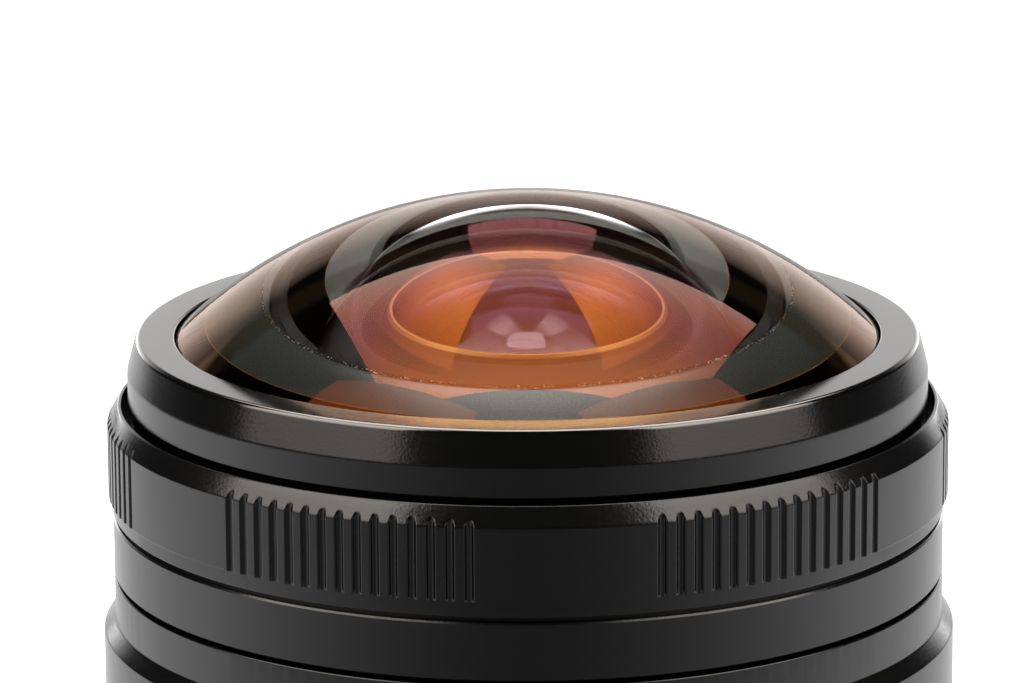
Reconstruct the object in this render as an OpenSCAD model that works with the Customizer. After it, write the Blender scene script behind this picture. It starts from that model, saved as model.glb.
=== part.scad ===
// Compact manual circular fisheye lens with a domed front element.
// The origin is on the optical axis at the rear end of the bayonet, +Z points out of the front element.
// All sizes are millimetres and degrees.

/* [Bayonet mount] */
// Length of the spigot behind the flange face
spigot_len = 4.6; // [4:0.1:6]
// Outside radius of the spigot
spigot_r = 21.75; // [21.2:0.05:22.4]
// Radius of the throat through the spigot
throat_r = 19.4; // [18.8:0.1:20.2]
// Outside radius of the bayonet tabs
tab_r = 23.2; // [22.8:0.1:23.6]
// Thickness of a bayonet tab
tab_t = 1.5; // [1:0.1:2]
// Distance from the spigot's end to a tab
tab_setback = 0.6; // [0.3:0.1:1.2]
// Angle that one tab spans
tab_span = 50; // [35:1:70]
// Radius of the flange
flange_r = 28.4; // [27.8:0.1:29]
// Thickness of the flange
flange_t = 2.2; // [1.8:0.1:3]
// Height of the raised seat on the flange
seat_step = 0.2; // [0.1:0.05:0.4]
// Distance from the flange's edge to a mount screw's axis
mount_screw_inset = 2.6; // [2.2:0.1:3]
// Radius of a mount screw's shank
mount_screw_r = 0.8; // [0.6:0.05:1]
// Radius of the lock pin's hole
lock_hole_r = 1.1; // [0.8:0.05:1.4]

/* [Rear barrel and guide] */
// Height of the rear barrel
rear_barrel_h = 8.1; // [7.4:0.1:10]
// Outside radius of the rear barrel at the focus ring
rear_barrel_r = 29.3; // [28.9:0.1:30.2]
// Wall of the rear barrel beside the cam sleeve
rear_wall = 2.3; // [1.8:0.1:3]
// Height of the taper from the flange to the full radius
rear_taper_h = 3; // [1:0.1:5]
// Thickness of the rear barrel's floor
rear_floor_t = 2; // [1.6:0.1:2.6]
// Radius of the alignment bead
bead_r = 1.1; // [0.8:0.05:1.5]
// Wall of the guide tube
guide_wall = 1.45; // [1.2:0.05:1.8]
// Thickness of the guide tube's foot
foot_t = 1.6; // [1.2:0.1:2]
// Radius of a small screw's shank
small_screw_r = 0.6; // [0.45:0.05:0.7]

/* [Focus ring] */
// Outside radius of the focus ring
focus_r = 30.5; // [30.2:0.1:31.5]
// Wall of the focus ring
focus_wall = 3.78; // [3:0.02:4.5]
// Height of the focus ring with its neck
focus_h = 22.05; // [20:0.05:25]
// Height of the narrow neck at the top
neck_h = 3; // [2:0.1:4]
// Wall of the neck
neck_wall = 1.78; // [1.4:0.02:2.4]
// Height of the chamfer between neck and body
focus_chamfer_h = 0.95; // [0.5:0.05:1.5]
// Gap between the rear barrel and the focus ring
ring_gap = 0.3; // [0.2:0.05:0.5]
// Height of the flutes on the focus ring
focus_flute_h = 10; // [6:0.5:11]
// Wall of the cam sleeve
cam_wall = 1.75; // [1.5:0.05:2]
// Angle that the focus ring turns through
focus_throw = 90; // [60:1:100]
// Distance that the optical block travels
focus_travel = 0.6; // [0.3:0.05:0.8]
// Radius of a cam follower
follower_r = 1.2; // [0.9:0.05:1.4]

/* [Optical block] */
// Outside radius of the front barrel's band and of the neck and collar beside it
band_r = 29.68; // [29.5:0.02:29.9]
// Height of the front barrel's band
band_h = 4.1; // [3.4:0.1:5]
// Gap between focus ring and band with the focus at infinity
focus_gap = 0.3; // [0.2:0.05:0.5]
// Wall of the inner barrel
inner_wall = 2.2; // [1.9:0.05:2.3]
// Wall of the collar that runs on the hub
collar_wall = 3.08; // [2.6:0.02:3.6]
// Wall of the hub
hub_wall = 2.4; // [1.8:0.1:2.8]
// Thickness of the disc that joins band and hub
base_disc_t = 1.95; // [1.6:0.05:2.2]

/* [Aperture ring] */
// How far the fluted part stands out past the band and the collar
ring_step = 0.32; // [0.2:0.02:0.6]
// Height of the fluted cylinder
ring_h = 5.22; // [4.8:0.02:7]
// Height of the plain collar under it
collar_h = 1.1; // [0.9:0.05:1.5]
// Height of the chamfer on top
ring_chamfer_h = 1.35; // [0.9:0.05:1.8]
// Width of the chamfer on top
ring_chamfer_w = 0.78; // [0.6:0.02:0.85]
// Width of the flat rim inside the chamfer
rim_w = 0.22; // [0.15:0.01:0.4]
// Running gap between band and collar
slip_gap = 0.37; // [0.3:0.01:0.5]
// Angle that the aperture ring turns through
aperture_throw = 48; // [40:1:50]
// Radius of a flute
flute_r = 0.3; // [0.2:0.01:0.31]
// Angle from one flute to the next
flute_pitch = 2.5; // [2.2:0.1:3]
// Number of flutes in a group
flutes_in_group = 15; // [9:1:17]
// Number of groups of flutes
flute_groups = 6; // [3:1:6]
// Angle of the middle of the first group
flute_phase = 4.9; // [0:0.1:60]

/* [Front element and bezel] */
// Radius of the dome
dome_radius = 37.24; // [34:0.02:42]
// Height of the dome over the element's seat
dome_rise = 12.02; // [11.6:0.02:12.6]
// Radius of the hollow in the back
hollow_radius = 17.8; // [17.2:0.1:22]
// Width of the flat back around the hollow
back_w = 9.1; // [8.5:0.1:10]
// Width of the ground step that the bezel holds
step_w = 1.1; // [0.9:0.05:1.3]
// Thickness of the ground step
step_t = 1; // [0.7:0.05:1.3]
// Height of the element's seat over the aperture ring
seat_rise = 2.25; // [1.8:0.05:3]
// Gap between the glass and the bezel's lip
glass_gap = 0.1; // [0.05:0.01:0.2]
// Width of the bezel from its lip to its flank
crown_w = 3.4; // [3:0.05:4]
// Wall of the bezel's threaded skirt
bezel_wall = 1.9; // [1.6:0.05:2.4]
// Inward lean of the bezel's flank
bezel_taper = 0.65; // [0.3:0.05:0.8]
// Height of the bezel's flank
bezel_flank_h = 2.48; // [1.7:0.02:2.6]
// Radius of the bezel's rounded crown
crown_r = 0.4; // [0.2:0.1:1.6]
// Drop from the glass edge to the bezel's top face, below zero where the face stands over the edge
bezel_drop = -0.22; // [-0.3:0.01:0.3]
// Gap between bezel and aperture ring
bezel_gap = 0.5; // [0.4:0.02:0.55]

/* [Inner elements] */
// Gap between the drive arm and the second element's cell
cell_gap = 1.7; // [1.2:0.1:2.2]
// Wall of the second element's cell
cell_wall = 2.8; // [2.4:0.1:3.2]
// Front radius of the second element
second_front_radius = 24; // [20:0.5:30]
// Rear radius of the second element
second_rear_radius = 11.5; // [11:0.1:16]
// Edge thickness of the second element
second_edge_t = 3.6; // [3:0.1:4]
// Difference between the edge radii of the second and the third element
third_step = 3.6; // [3:0.1:4]
// Edge radius of the rear elements
rear_r = 9.8; // [9.2:0.1:10.4]
// Length of the rear cell below its flange
rear_cell_h = 15.4; // [15:0.1:17]

/* [Iris] */
// Thickness of a blade
blade_t = 0.1; // [0.08:0.01:0.12]
// Width of a blade
blade_w = 4.1; // [3.8:0.1:4.4]
// Distance from a blade's outer edge to its pivot
blade_clear = 1.7; // [1.5:0.05:2]
// Distance from a pivot to the edge of the blade's ear
ear_margin = 0.9; // [0.7:0.05:1.2]
// Angle from a blade's pivot to its drive pin
drive_offset = 12; // [11:0.5:13]
// Angle that a blade turns through
blade_throw = 23.6; // [18:0.1:24]
// Radius of a blade's pins
blade_pin_r = 0.4; // [0.3:0.02:0.45]

/* [Clearances] */
// Radial clearance of a running fit
run_fit = 0.05; // [0.03:0.01:0.08]
// Clearance of a piece that is seated in another
seat_fit = 0.02; // [0.01:0.01:0.04]
// Free air between pieces that pass each other
air = 0.3; // [0.25:0.05:0.4]

/* [Hidden] */
$fn = 96;
cut = 0.2;
weld = 0.05;
edge_break = 0.12;
sphere_facets = 240;

// Heights, from the rear end to the front
flange_z = spigot_len;
rear_z = flange_z + flange_t;
rear_top = rear_z + rear_barrel_h;
floor_top = rear_z + rear_floor_t;
foot_top = floor_top + foot_t;
ledge_z = foot_top + cut;
focus_z = rear_top + ring_gap;
focus_top = focus_z + focus_h;
neck_z = focus_top - neck_h;
shoulder_z = neck_z - focus_chamfer_h;
band_z = focus_top + focus_gap;
band_top = band_z + band_h;
base_top = band_z + base_disc_t;
collar_z = band_top + slip_gap;
ring_z = collar_z + collar_h;
chamfer_z = ring_z + ring_h;
ring_top = chamfer_z + ring_chamfer_h;
glass_z = ring_top + seat_rise;

// Radii of the tubes that run in each other, from the outside inwards. The tightest outer ring sets them.
skirt_wall = 0.9;
cam_out_r = min(
    focus_r - focus_wall - seat_fit,
    rear_barrel_r - rear_wall - air,
    band_r - neck_wall - air - skirt_wall
);
focus_bore_r = cam_out_r + seat_fit;
cam_in_r = cam_out_r - cam_wall;
guide_out_r = cam_in_r - run_fit;
guide_in_r = guide_out_r - guide_wall;
inner_out_r = guide_in_r - run_fit;
inner_bore_r = inner_out_r - inner_wall;
foot_w = 1.9;
foot_in_r = guide_in_r - foot_w;

// Radii of the aperture ring, the bezel and what it holds. The tighter of the two rings sets the bezel.
ring_r = band_r + ring_step;
bezel_r = min(ring_r - ring_chamfer_w - rim_w - bezel_gap, band_r - collar_wall + bezel_wall);
hub_r = bezel_r - bezel_wall;
lip_r = bezel_r - crown_w;
glass_r = lip_r - glass_gap;
step_r = glass_r + step_w;
hollow_rim_r = glass_r - back_w;

// Radii of the drive arm, the iris and the second cell, from the inner barrel's bore inwards
arm_t = 1;
arm_bore_gap = 1.7;
arm_gap = 1.3;
arm_r = inner_bore_r - arm_bore_gap - arm_t;
rim_wall = 2.15;
rim_out_r = arm_r - arm_gap;
rim_in_r = rim_out_r - rim_wall;
iris_cam_r = rim_in_r - run_fit;
shelf_w = 1.5;
shelf_in_r = iris_cam_r - shelf_w;
ear_gap = 0.6;
ear_r = shelf_in_r - ear_gap;
pivot_circle = ear_r - ear_margin;
blade_out_r = pivot_circle - blade_clear;
blade_in_r = blade_out_r - blade_w;
cell_r = arm_r - cell_gap;
second_r = cell_r - cell_wall;
third_r = second_r - third_step;

// Bayonet
seat_r = tab_r + air;
tab_count = 3;
mount_screw_circle = min(flange_r, rear_barrel_r) - mount_screw_inset;
mount_screw_count = 4;
mount_screw_turn = 45;
mount_screw_depth = 3;
screw_head_ratio = 1.8;
slot_len_ratio = 1.2;
slot_w_ratio = 0.24;
slot_depth_ratio = 0.5;
mount_head_r = mount_screw_r * screw_head_ratio;
small_head_r = small_screw_r * screw_head_ratio;
lock_hole_turn = 20;
baffle_t = 0.8;
baffle_w = 26;
baffle_d = 19;
baffle_ledge_w = 1.4;
baffle_z = 0.8;
baffle_top = baffle_z + baffle_t;
baffle_ledge_t = 1.4;
baffle_ledge_top = baffle_top + baffle_ledge_t;
baffle_ledge_r = throat_r - baffle_ledge_w;
baffle_screw_r = 0.4;
baffle_head_r = 0.64;
baffle_screw_circle = throat_r - baffle_ledge_w / 2;
baffle_screw_count = 3;

// Rear barrel, guide tube and the pieces that hold the cam sleeve
rear_waist_r = flange_r + cut;
rear_floor_in_r = min(throat_r + air, foot_in_r);
rear_wall_in_r = cam_out_r + air;
bead_turn = -60;
bead_z = rear_z + rear_taper_h + (rear_barrel_h - rear_taper_h) / 2;
bead_depth = 1.4;
bead_proud = 0.35;
foot_screw_circle = (foot_in_r + guide_in_r) / 2;
foot_screw_count = 4;
washer_t = 0.3;
axial_gap = 0.05;
cam_z = ledge_z + washer_t + axial_gap;
cam_end_gap = 1.2;
cam_top = neck_z - cam_end_gap;
retainer_h = 1.1;
retainer_step = 0.6;
retainer_r = cam_out_r - retainer_step;
guide_end_gap = 0.6;
guide_top = band_z - guide_end_gap;
stop_pin_r = 0.6;
stop_pin_circle = (cam_in_r + cam_out_r) / 2;
stop_pin_h = 1.3;
stop_pin_turn = 200;
stop_notch_h = stop_pin_h + air;

// Focus ring and cam
focus_edge = 0.4;
skirt_out_r = cam_out_r + skirt_wall;
skirt_in_r = retainer_r + air;
skirt_overlap = 0.35;
skirt_h = neck_h + skirt_overlap;
neck_bore_r = skirt_out_r + air;
pocket_gap = 0.4;
pocket_z = band_z - skirt_h - pocket_gap;
flute_rise = 2;
flute_z = focus_z + flute_rise;
grub_r = 1;
grub_key_r = 0.5;
grub_count = 3;
grub_drop = 2;
grub_z = flute_z + focus_flute_h - grub_drop;
grub_depth = 0.5;
grub_sink = 0.3;
follower_count = 3;
follower_turn = 30;
follower_rise = 9;
follower_z = cam_z + follower_rise;
follower_in_r = inner_bore_r + air;
follower_out_r = cam_out_r - run_fit;
key_w = 2 * (follower_r + run_fit);
key_end = follower_r + air;
cam_slot_w = 2 * (follower_r + run_fit + seat_fit);
cam_mean_r = (cam_in_r + cam_out_r) / 2;
cam_tilt = asin(focus_travel / 2 / (cam_mean_r * sin(focus_throw / 2)));

// Barrels of the optical block
inner_end_gap = 1.1;
inner_z = foot_top + inner_end_gap;
group_depth = 8.55;
group_ledge_top = band_z - group_depth;
group_ledge_t = 1.5;
group_ledge_z = group_ledge_top - group_ledge_t;
group_ledge_w = 3.2;
group_ledge_in_r = inner_bore_r - group_ledge_w;
barrel_screw_circle = inner_bore_r + inner_wall / 2;
barrel_screw_count = 4;
barrel_screw_turn = 0;
barrel_screw_h = 3;
cell_floor_w = 5.3;
base_in_r = cell_r - cell_floor_w;
hub_in_r = hub_r - hub_wall;
shim_t = 0.1;
hub_top = glass_z - shim_t;
hub_flange_t = 1.5;
hub_flange_in_r = cell_r + cut;

// Front element, its seat and the bezel
dome_z = glass_z + dome_rise - dome_radius;
dome_edge_z = dome_z + sqrt(dome_radius * dome_radius - glass_r * glass_r);
hollow_z = glass_z - sqrt(hollow_radius * hollow_radius - hollow_rim_r * hollow_rim_r);
step_z = glass_z + step_t;
bezel_top = dome_edge_z - bezel_drop;
flank_z = bezel_top - bezel_flank_h;
lip_z = step_z + air;
bezel_skirt_h = 5.3;
bezel_skirt_z = glass_z - bezel_skirt_h;
bezel_relief = 0.4;
bezel_relief_r = bezel_r - bezel_relief;
cap_gap = 0.25;
bezel_relief_z = ring_top + cap_gap;
bezel_thread_r = hub_r + seat_fit;
bezel_step_r = step_r + run_fit;
flank_lean = atan(bezel_taper / bezel_flank_h);
crown_flat_r = bezel_r - bezel_taper - crown_r * tan((90 - flank_lean) / 2);
shim_w = 5.6;
shim_in_r = step_r - shim_w;
mask_t = shim_t - seat_fit;

// Second and third elements
clear_margin = 1;
second_rise = 5.7;
second_z = base_top + second_rise;
second_seat_w = 1.1;
second_seat_r = third_r - second_seat_w;
second_seat_t = 1;
second_seat_z = second_z - second_seat_t;
second_edge_z = second_z + second_edge_t;
second_clear_r = second_r - clear_margin;
second_rear_w = 1.2;
second_rear_clear_r = second_seat_r + second_rear_w;
cell_bore_r = second_r + seat_fit;
cell_thread_step = 0.9;
cell_thread_r = second_r + cell_thread_step;
second_retainer_h = 1.6;
cell_top = second_edge_z + second_retainer_h;
hood_h = 1.2;
hood_foot = 0.8;
hood_bevel = 0.6;
hood_flat = 0.2;
hood_deep = 0.7;
hood_inset = 1.6;
hood_out_r = second_clear_r - hood_inset;
hood_in_r = hood_out_r - hood_bevel - hood_flat;
hood_top = cell_top + hood_h;
third_edge_t = 2.5;
third_z = second_seat_z - third_edge_t;
third_clear_r = third_r - clear_margin;
third_front_radius = 30;
third_rear_radius = 14;
third_retainer_h = 1.5;

// Rear group
rear_flange_t = 2;
rear_flange_z = group_ledge_top;
iris_z = rear_flange_z + rear_flange_t;
rear_bore_r = rear_r + seat_fit;
rear_tube_wall = 3.4;
rear_tube_r = rear_r + rear_tube_wall;
rear_stop_w = 1.4;
rear_stop_r = rear_r - rear_stop_w;
rear_stop_t = 1;
rear_clear_r = rear_r - clear_margin;
rear_tube_z = rear_flange_z - rear_cell_h;
fourth_edge_t = 2.2;
fourth_top = iris_z - rear_stop_t;
fourth_z = fourth_top - fourth_edge_t;
rear_spacer_h = 5;
rear_spacer_z = fourth_z - rear_spacer_h;
crown_edge_t = 3;
crown_z = rear_spacer_z - crown_edge_t;
flint_edge_t = 1.8;
cement_t = seat_fit;
flint_z = crown_z - cement_t - flint_edge_t;
rear_retainer_h = 2;
rear_retainer_z = flint_z - rear_retainer_h;
fourth_radius = 22;
fourth_front_radius = 88;
crown_front_radius = 24;
cement_radius = 20;
flint_rear_radius = 60;
group_screw_inset = 1.5;
group_screw_circle = inner_bore_r - group_screw_inset;
group_screw_count = 3;

// Iris
blade_count = 6;
iris_floor_t = 1;
iris_hole_r = blade_in_r - cut;
blade_gap = 0.05;
blade_step = blade_t + blade_gap;
blade_z = iris_z + iris_floor_t + 2 * blade_gap;
blades_top = blade_z + blade_count * blade_step;
blade_pitch = 360 / blade_count;
blade_tail = 5;
blade_span = 120;
ear_span = drive_offset + 2 * blade_tail;
cam_overlap = 0.9;
iris_cam_in_r = blade_out_r - cam_overlap;
iris_cam_z = blades_top + 2 * blade_gap;
iris_cam_t = 0.8;
iris_cam_top = iris_cam_z + iris_cam_t;
shelf_top = iris_cam_z - axial_gap;
rim_top = iris_cam_top + 2 * axial_gap;
cover_t = 0.8;
cover_step = 0.5;
cover_in_r = iris_hole_r + cover_step;
iris_screw_circle = (rim_in_r + rim_out_r) / 2;
iris_screw_r = 0.45;
iris_screw_turns = [30, 200, 270];

// Drive arm between the aperture ring and the iris
arm_turn = 90;
arm_w = 4;
arm_reach = 1.6;
arm_out_r = hub_r + arm_reach;
arm_rise = 1.4;
arm_z = collar_z + arm_rise;
arm_top = arm_z + arm_t;
ring_bore_r = hub_r + run_fit;
rim_bore_r = bezel_r + bezel_gap;
counterbore_gap = 0.4;
counterbore_z = bezel_skirt_z - counterbore_gap;
arm_screw_r = 0.5;
arm_screw_spread = 1.2;
arm_screw_inset = 0.85;
arm_screw_circle = hub_r + arm_screw_inset;
ring_edge = 0.15;
washer_inset = 0.5;

// Angle at the axis that a straight piece of half width w takes up at radius r
function half_angle(w, r) = asin(min(w / r, 1));

// Centre of the circle through three points
function circle_mid(a, b, c) =
    let (d = 2 * (a.x * (b.y - c.y) + b.x * (c.y - a.y) + c.x * (a.y - b.y)))
    let (aa = a * a, bb = b * b, cc = c * c)
    [
        (aa * (b.y - c.y) + bb * (c.y - a.y) + cc * (a.y - b.y)) / d,
        (aa * (c.x - b.x) + bb * (a.x - c.x) + cc * (b.x - a.x)) / d
    ];

function polar(r, a) = [r * cos(a), r * sin(a)];
function turned_by(p, a) = [p.x * cos(a) - p.y * sin(a), p.x * sin(a) + p.y * cos(a)];

// Where a blade's drive pin is, seen from the cam ring, when a share of the throw has been made
function drive_pin(share) =
    let (pivot = [pivot_circle, 0])
    let (arm = polar(pivot_circle, drive_offset) - pivot)
    turned_by(pivot + turned_by(arm, share * blade_throw), -share * aperture_throw);

module turned(points) {
    rotate_extrude() polygon(points);
}

module ring(z, h, r_out, r_in) {
    turned([[r_in, z], [r_out, z], [r_out, z + h], [r_in, z + h]]);
}

module rod(z, h, r) {
    translate([0, 0, z]) cylinder(h = h, r = r);
}

module sector(r_in, r_out, z, h, start, span) {
    rotate([0, 0, start])
        rotate_extrude(angle = span)
            translate([r_in, z]) square([r_out - r_in, h]);
}

// Copies of the children on a circle
module around(count, r, start = 0) {
    for (i = [0:count - 1]) rotate([0, 0, start + i * 360 / count]) translate([r, 0, 0]) children();
}

// A screw with a countersunk head whose flat face looks down at z
module sunk_screw(z, length, shank_r, head_r) {
    head_h = head_r - shank_r;
    slot_len = head_r * slot_len_ratio;
    slot_w = head_r * slot_w_ratio;
    difference() {
        union() {
            translate([0, 0, z]) cylinder(h = head_h, r1 = head_r, r2 = shank_r);
            rod(z, length, shank_r);
        }
        for (a = [0, 90])
            rotate([0, 0, a])
                translate([-slot_len / 2, -slot_w / 2, z - cut])
                    cube([slot_len, slot_w, cut + head_h * slot_depth_ratio]);
    }
}

// The hole that such a screw goes into
module sunk_hole(z, length, shank_r, head_r) {
    head_h = head_r - shank_r;
    translate([0, 0, z]) cylinder(h = head_h, r1 = head_r + seat_fit, r2 = shank_r + seat_fit);
    rod(z - cut, cut, head_r + seat_fit);
    rod(z, length + seat_fit, shank_r + seat_fit);
}

// The same pair with the head's flat face looking up at z
module top_screw(z, length, shank_r, head_r) {
    translate([0, 0, z]) mirror([0, 0, 1]) sunk_screw(0, length, shank_r, head_r);
}

module top_hole(z, length, shank_r, head_r) {
    translate([0, 0, z]) mirror([0, 0, 1]) sunk_hole(0, length, shank_r, head_r);
}

// Groups of straight flutes around a ring
module flutes(r, z, h) {
    first = flute_phase - flute_pitch * (flutes_in_group - 1) / 2;
    for (g = [0:flute_groups - 1])
        for (i = [0:flutes_in_group - 1])
            rotate([0, 0, first + g * 360 / flute_groups + i * flute_pitch])
                translate([r, 0, 0]) rod(z, h, flute_r);
}

// A cap of a sphere that stands on the plane at z, over the circle of the given radius
module bulge(z, clear_r, radius) {
    base = sqrt(radius * radius - clear_r * clear_r);
    intersection() {
        translate([0, 0, z - base]) sphere(r = radius, $fn = sphere_facets);
        rod(z - weld, radius, clear_r);
    }
}

// An element with flat edges. A positive radius bulges, a negative one is hollow, at the top or below.
module element(z, edge_t, edge_r, top_clear, top_radius, low_clear, low_radius) {
    difference() {
        union() {
            rod(z, edge_t, edge_r);
            if (top_radius > 0) bulge(z + edge_t, top_clear, top_radius);
            if (low_radius > 0) translate([0, 0, z]) mirror([0, 0, 1]) bulge(0, low_clear, low_radius);
        }
        if (top_radius < 0)
            translate([0, 0, z + edge_t + sqrt(top_radius * top_radius - top_clear * top_clear)])
                sphere(r = -top_radius, $fn = sphere_facets);
        if (low_radius < 0)
            translate([0, 0, z - sqrt(low_radius * low_radius - low_clear * low_clear)])
                sphere(r = -low_radius, $fn = sphere_facets);
    }
}

// Bayonet mount, turned and milled from steel
module lens_mount() {
    color("silver") difference() {
        union() {
            turned([
                [throat_r, 0], [spigot_r, 0],
                [spigot_r, flange_z + seat_step], [seat_r, flange_z + seat_step],
                [seat_r, flange_z], [flange_r, flange_z],
                [flange_r, rear_z], [throat_r, rear_z],
                [throat_r, baffle_ledge_top], [baffle_ledge_r, baffle_ledge_top],
                [baffle_ledge_r, baffle_top], [throat_r, baffle_top]
            ]);
            for (i = [0:tab_count - 1])
                sector(spigot_r - cut, tab_r, tab_setback, tab_t, i * 360 / tab_count, tab_span);
        }
        around(mount_screw_count, mount_screw_circle, mount_screw_turn)
            sunk_hole(flange_z, flange_t + cut, mount_screw_r, mount_head_r);
        rotate([0, 0, lock_hole_turn])
            translate([mount_screw_circle, 0, 0]) rod(flange_z - cut, flange_t + 2 * cut, lock_hole_r);
        around(baffle_screw_count, baffle_screw_circle)
            rod(baffle_top - cut, baffle_ledge_t + 2 * cut, baffle_screw_r + seat_fit);
    }
}

// Countersunk screws that hold the mount to the rear barrel
module mount_screws() {
    color("gray") around(mount_screw_count, mount_screw_circle, mount_screw_turn)
        sunk_screw(flange_z, flange_t + mount_screw_depth, mount_screw_r, mount_head_r);
}

// Blackened disc with a window of the picture's shape, behind the rear element
module rear_baffle() {
    color("#141414") difference() {
        rod(baffle_z, baffle_t, throat_r - run_fit);
        translate([-baffle_w / 2, -baffle_d / 2, baffle_z - cut])
            cube([baffle_w, baffle_d, baffle_t + 2 * cut]);
        around(baffle_screw_count, baffle_screw_circle)
            rod(baffle_z - cut, baffle_t + 2 * cut, baffle_screw_r + seat_fit);
    }
}

// Pan head screws that hold the baffle to its ledge
module baffle_screws() {
    color("gray") around(baffle_screw_count, baffle_screw_circle) {
        rod(baffle_z, baffle_t + baffle_ledge_t, baffle_screw_r);
        rod(baffle_z - baffle_screw_r, baffle_screw_r, baffle_head_r);
    }
}

// Fixed barrel between the mount and the focus ring
module rear_barrel() {
    color("#1c1c1e") difference() {
        turned([
            [rear_floor_in_r, rear_z], [rear_waist_r, rear_z],
            [rear_barrel_r, rear_z + rear_taper_h], [rear_barrel_r, rear_top - edge_break],
            [rear_barrel_r - edge_break, rear_top], [rear_wall_in_r, rear_top],
            [rear_wall_in_r, ledge_z], [guide_out_r + seat_fit, ledge_z],
            [guide_out_r + seat_fit, floor_top], [rear_floor_in_r, floor_top]
        ]);
        around(mount_screw_count, mount_screw_circle, mount_screw_turn)
            rod(rear_z - cut, mount_screw_depth + 2 * cut, mount_screw_r + seat_fit);
        around(foot_screw_count, foot_screw_circle)
            sunk_hole(rear_z, rear_floor_t + cut, small_screw_r, small_head_r);
        rotate([0, 0, stop_pin_turn])
            translate([stop_pin_circle, 0, 0])
                rod(ledge_z - stop_pin_h, stop_pin_h + cut, stop_pin_r + seat_fit);
        rotate([0, 0, bead_turn])
            translate([rear_barrel_r - bead_depth, 0, bead_z])
                rotate([0, 90, 0]) cylinder(h = bead_depth + cut, r = bead_r + seat_fit);
    }
}

// Bead that marks the mounting position
module alignment_bead() {
    color("#c8201c") rotate([0, 0, bead_turn]) translate([rear_barrel_r - bead_depth, 0, bead_z])
        rotate([0, 90, 0]) {
            cylinder(h = bead_depth, r = bead_r);
            translate([0, 0, bead_depth]) bulge(0, bead_r, (bead_r * bead_r / bead_proud + bead_proud) / 2);
        }
}

// Fixed tube whose straight slots keep the optical block from turning
module guide_tube() {
    color("#3a3a3c") difference() {
        turned([
            [foot_in_r, floor_top], [guide_out_r, floor_top],
            [guide_out_r, guide_top], [guide_in_r, guide_top],
            [guide_in_r, foot_top], [foot_in_r, foot_top]
        ]);
        for (i = [0:follower_count - 1])
            rotate([0, 0, follower_turn + i * 360 / follower_count])
                translate([guide_in_r - cut, -key_w / 2, follower_z - key_end])
                    cube([guide_wall + 2 * cut, key_w, focus_travel + 2 * key_end]);
        around(foot_screw_count, foot_screw_circle)
            rod(floor_top - cut, foot_t + 2 * cut, small_screw_r + seat_fit);
    }
}

// Screws that hold the guide tube's foot to the rear barrel
module guide_tube_screws() {
    color("gray") around(foot_screw_count, foot_screw_circle)
        sunk_screw(rear_z, rear_floor_t + foot_t, small_screw_r, small_head_r);
}

// Threaded ring that keeps the cam sleeve on its washer
module sleeve_retainer() {
    color("#3a3a3c") ring(cam_top + axial_gap, retainer_h, retainer_r, guide_out_r + seat_fit);
}

// Slip washer under the cam sleeve
module thrust_washer() {
    color("ivory") difference() {
        ring(ledge_z, washer_t, cam_out_r, cam_in_r);
        rotate([0, 0, stop_pin_turn])
            translate([stop_pin_circle, 0, 0]) rod(ledge_z - cut, washer_t + 2 * cut, stop_pin_r + seat_fit);
    }
}

// Pin that the ends of the cam sleeve's notch stop against
module focus_stop_pin() {
    color("gray") rotate([0, 0, stop_pin_turn]) translate([stop_pin_circle, 0, 0])
        rod(ledge_z - stop_pin_h, 2 * stop_pin_h + washer_t, stop_pin_r);
}

// Focus ring with a narrow neck, a plain scale band and groups of flutes
module focus_ring() {
    color("#1c1c1e") difference() {
        turned([
            [focus_bore_r, focus_z], [focus_r - focus_edge, focus_z],
            [focus_r, focus_z + focus_edge], [focus_r, shoulder_z],
            [band_r, neck_z], [band_r, focus_top - edge_break],
            [band_r - edge_break, focus_top], [neck_bore_r, focus_top],
            [neck_bore_r, pocket_z], [focus_bore_r, pocket_z]
        ]);
        flutes(focus_r, flute_z, focus_flute_h);
        for (i = [0:grub_count - 1])
            rotate([0, 0, grub_turn(i)])
                translate([focus_bore_r - cut, 0, grub_z])
                    rotate([0, 90, 0]) cylinder(h = focus_r, r = grub_r + seat_fit);
    }
}

// A grub screw sits in the middle of every second gap between groups of flutes
function grub_turn(i) = flute_phase + 180 / flute_groups + i * 360 / grub_count;

// Sleeve with three cam slots that lift the followers as it turns
module cam_sleeve() {
    color("#8a7a4a") difference() {
        ring(cam_z, cam_top - cam_z, cam_out_r, cam_in_r);
        for (i = [0:follower_count - 1])
            rotate([0, 0, follower_turn + i * 360 / follower_count - focus_throw / 2])
                translate([0, 0, follower_z + focus_travel / 2])
                    rotate([-cam_tilt, 0, 0]) cam_slot();
        sector(
            cam_in_r - cut, cam_out_r + cut, cam_z - cut, stop_notch_h + cut,
            stop_pin_turn - focus_throw - notch_margin(), focus_throw + 2 * notch_margin()
        );
        for (i = [0:grub_count - 1])
            rotate([0, 0, grub_turn(i)])
                translate([cam_out_r - grub_depth, 0, grub_z])
                    rotate([0, 90, 0]) cylinder(h = grub_depth + cut, r = grub_r + seat_fit);
    }
}

function notch_margin() = half_angle(stop_pin_r + run_fit, stop_pin_circle);

module cam_slot() {
    sector(
        cam_in_r - cut, cam_out_r + cut, -cam_slot_w / 2, cam_slot_w,
        -focus_throw / 2, focus_throw
    );
    for (a = [-focus_throw / 2, focus_throw / 2])
        rotate([0, 0, a])
            translate([cam_in_r - cut, 0, 0])
                rotate([0, 90, 0]) cylinder(h = cam_wall + 2 * cut, r = cam_slot_w / 2);
}

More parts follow.
